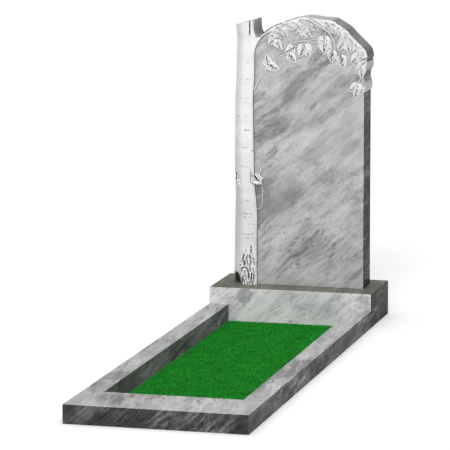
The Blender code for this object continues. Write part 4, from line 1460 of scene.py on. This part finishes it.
# %% [markdown]
# ## Artificial grass
# The bed holds a mat of artificial grass: short green blades tufted through a thin woven backing. In
# the photograph it reads as an even green with a grain of single tufts. A tuft of two bent
# blades is drawn once, and a node tree scatters it over the mat, turned and stretched at random.

# %% Finishes of the mat
turf_blade, shader = surface("polyethylene grass blades", 0.55)
tree = turf_blade.node_tree
place = node(tree, "ShaderNodeTexCoord").outputs["Object"]
TUFT_SPACING = 4.0
tufts = node(tree, "ShaderNodeTexNoise", {"Vector": place, "Scale": 1 / (TUFT_SPACING * MM), "Detail": 2.0})
patches = node(tree, "ShaderNodeTexNoise", {"Vector": place, "Scale": 14.0, "Detail": 2.0})
blend = node(tree, "ShaderNodeMath", {
    0: patches.outputs["Fac"], 1: 0.12, 2: tufts.outputs["Fac"],
}, operation="MULTIPLY_ADD")
greens = node(tree, "ShaderNodeValToRGB", {"Fac": blend.outputs["Value"]}, stops=[
    (0.42, "#06440e"), (0.56, "#129020"), (0.70, "#3adc46"),
])
tree.links.new(greens.outputs["Color"], shader.inputs["Base Color"])
shader.inputs["Specular IOR Level"].default_value = 0.1
turf_base, shader = surface("woven green backing", 0.9)
tree = turf_base.node_tree
place = node(tree, "ShaderNodeTexCoord").outputs["Object"]
weave = node(tree, "ShaderNodeTexNoise", {"Vector": place, "Scale": 400.0, "Detail": 2.0})
greens = node(tree, "ShaderNodeValToRGB", {"Fac": weave.outputs["Fac"]}, stops=[
    (0.4, "#0a4a10"), (0.6, "#126a1a"),
])
tree.links.new(greens.outputs["Color"], shader.inputs["Base Color"])

# %% Lay the mat and its tufts
mat_low, mat_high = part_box("turf_mat")
BACKING = 2 * MM
backing_top = Vector((mat_high.x, mat_high.y, mat_low.z + BACKING))
turf_backing = item_from("turf_backing", *box_shape(mat_low, backing_top), [turf_base])

# A blade's half width, and the heights of its bend and its tip, in mm
BLADE_HALF, BLADE_KNEE, BLADE_TIP = 0.9, 3.4, 5.6
blade_points, blade_faces = [], []
for turn, lean, tall in ((0.3, 1.6, 1.0), (2.6, 1.3, 0.82)):
    side = Vector((math.cos(turn), math.sin(turn), 0)) * BLADE_HALF
    over = Vector((-math.sin(turn), math.cos(turn), 0)) * lean
    at = over * 0.5
    knee, tip = [Vector((0, 0, height * tall)) for height in (BLADE_KNEE, BLADE_TIP)]
    n = len(blade_points)
    blade_points += [at - side, at + side, at + side * 0.7 + over * 0.4 + knee,
                     at - side * 0.7 + over * 0.4 + knee, at + over * 1.3 + tip]
    blade_faces += [(n, n + 1, n + 2, n + 3), (n + 3, n + 2, n + 4)]
tuft_mesh = bpy.data.meshes.new("tuft")
tuft_mesh.from_pydata([tuple(p * MM) for p in blade_points], [], blade_faces)
tuft_mesh.materials.append(turf_blade)
tuft = bpy.data.objects.new("tuft", tuft_mesh)
bpy.context.scene.collection.objects.link(tuft)

grass_tree, given, result = new_tree("tuft the mat", [
    ("Tuft", "NodeSocketObject"), ("Tufts per square metre", "NodeSocketFloat"), ("Seed", "NodeSocketInt"),
    ("Finish", "NodeSocketMaterial"),
])
spots = node(grass_tree, "GeometryNodeDistributePointsOnFaces", {
    "Mesh": given.outputs["Geometry"], "Density": given.outputs["Tufts per square metre"],
    "Seed": given.outputs["Seed"],
}, distribute_method="RANDOM")
spin = node(grass_tree, "FunctionNodeRandomValue", {
    "Min": (-0.25, -0.25, 0.0), "Max": (0.25, 0.25, 6.283), "Seed": 11,
}, data_type="FLOAT_VECTOR")
stretch = node(grass_tree, "FunctionNodeRandomValue", {
    "Min": (0.8, 0.8, 0.75), "Max": (1.1, 1.1, 1.0), "Seed": 12,
}, data_type="FLOAT_VECTOR")
drawn_tuft = node(grass_tree, "GeometryNodeObjectInfo", {"Object": given.outputs["Tuft"]})
planted = node(grass_tree, "GeometryNodeInstanceOnPoints", {
    "Points": spots.outputs["Points"], "Scale": stretch.outputs[0],
    "Instance": drawn_tuft.outputs["Geometry"],
    "Rotation": node(grass_tree, "FunctionNodeEulerToRotation", {"Euler": spin.outputs[0]}).outputs[0],
})
end_tree(grass_tree, planted.outputs["Instances"], given, result)

TUFT_MARGIN = 3.5 * MM
TUFTS_PER_STRIP = 31000
middle_y = (mat_low.y + mat_high.y) / 2
strips = []
for n, (y0, y1) in enumerate(((mat_low.y + TUFT_MARGIN, middle_y), (middle_y, mat_high.y - TUFT_MARGIN))):
    x0, x1, z = mat_low.x + TUFT_MARGIN, mat_high.x - TUFT_MARGIN, mat_low.z + BACKING
    ground = bpy.data.meshes.new("ground")
    ground.from_pydata([(x0, y0, z), (x1, y0, z), (x1, y1, z), (x0, y1, z)], [], [(0, 1, 2, 3)])
    strips.append(grow("turf_blades_%d" % (n + 1), bpy.data.objects.new("ground", ground), grass_tree, {
        "Tuft": tuft, "Tufts per square metre": TUFTS_PER_STRIP / ((x1 - x0) * (y1 - y0)), "Seed": 20 + n,
        "Finish": turf_blade,
    }))
    print(strips[-1].name, len(strips[-1].data.polygons), "faces")
bpy.data.objects.remove(tuft, do_unlink=True)

# %% [markdown]
# ## Floor and light
# The photograph has a white ground and no shadow to speak of. A broad lamp high in front and one
# overhead, both with a wide disc, light the stone as two large soft boxes would, and the pale floor
# sends light back up. The front lamp stands on the camera's side, so that the slab's own shadow
# falls behind it, out of sight. The sides that look right get the least, as in the photograph.

# %% Floor, lamps and world
FLOOR_HALF = 60.0
floor = item_from("floor", [
    (x, y, 0.0) for x, y in ((-FLOOR_HALF, -FLOOR_HALF), (FLOOR_HALF, -FLOOR_HALF),
                             (FLOOR_HALF, FLOOR_HALF), (-FLOOR_HALF, FLOOR_HALF))
], [(0, 1, 2, 3)], [])
floor_paint, shader = surface("matt white floor", 0.9)
shader.inputs["Base Color"].default_value = linear("#ffffff")
shader.inputs["Specular IOR Level"].default_value = 0.0
floor.data.materials.append(floor_paint)


def lamp(name, azimuth, elevation, strength, disc):
    """A sun-like lamp seen at an azimuth (0 in front, positive to the right) and an elevation, in degrees."""
    data = bpy.data.lights.new(name, "SUN")
    data.energy = strength
    data.angle = math.radians(disc)
    item = bpy.data.objects.new(name, data)
    a, e = math.radians(azimuth), math.radians(elevation)
    towards = Vector((math.sin(a) * math.cos(e), -math.cos(a) * math.cos(e), math.sin(e)))
    item.rotation_euler = towards.to_track_quat("Z", "Y").to_euler()
    bpy.context.scene.collection.objects.link(item)


lamp("front soft box", 8, 33, 1.75, 30)
lamp("overhead soft box", 180, 88, 1.75, 80)
AMBIENT = 0.2
world = bpy.data.worlds.new("studio")
world.use_nodes = True
world.node_tree.nodes["Background"].inputs["Color"].default_value = (1.0, 1.0, 1.0, 1.0)
world.node_tree.nodes["Background"].inputs["Strength"].default_value = AMBIENT
bpy.context.scene.world = world
bpy.context.scene.view_settings.view_transform = "Standard"

# %% [markdown]
# ## Put the pieces on the frame
# Every piece rides on the frame's one body, since a headstone has no moving parts, and the blocks that the
# carved pieces and the grass replace are hidden.

# %% Ride and measure
stele_pieces = [slab, band, trunk, torn_right, torn_left, spray_leaves, band_leaves, twigs]
for piece in stele_pieces:
    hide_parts("stele")
turf_pieces = [turf_backing] + strips
for piece in turf_pieces:
    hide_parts("turf_mat")
for pieces, slot in ((stele_pieces, "carved_marble"), ([plinth], "plinth_marble"),
                     (rails, "kerb_marble"), (turf_pieces, "turf")):
    for piece in pieces:
        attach(piece, "root")
print("triangles in all:", sum(triangles(p) for p in stele_pieces + [plinth] + rails + turf_pieces))
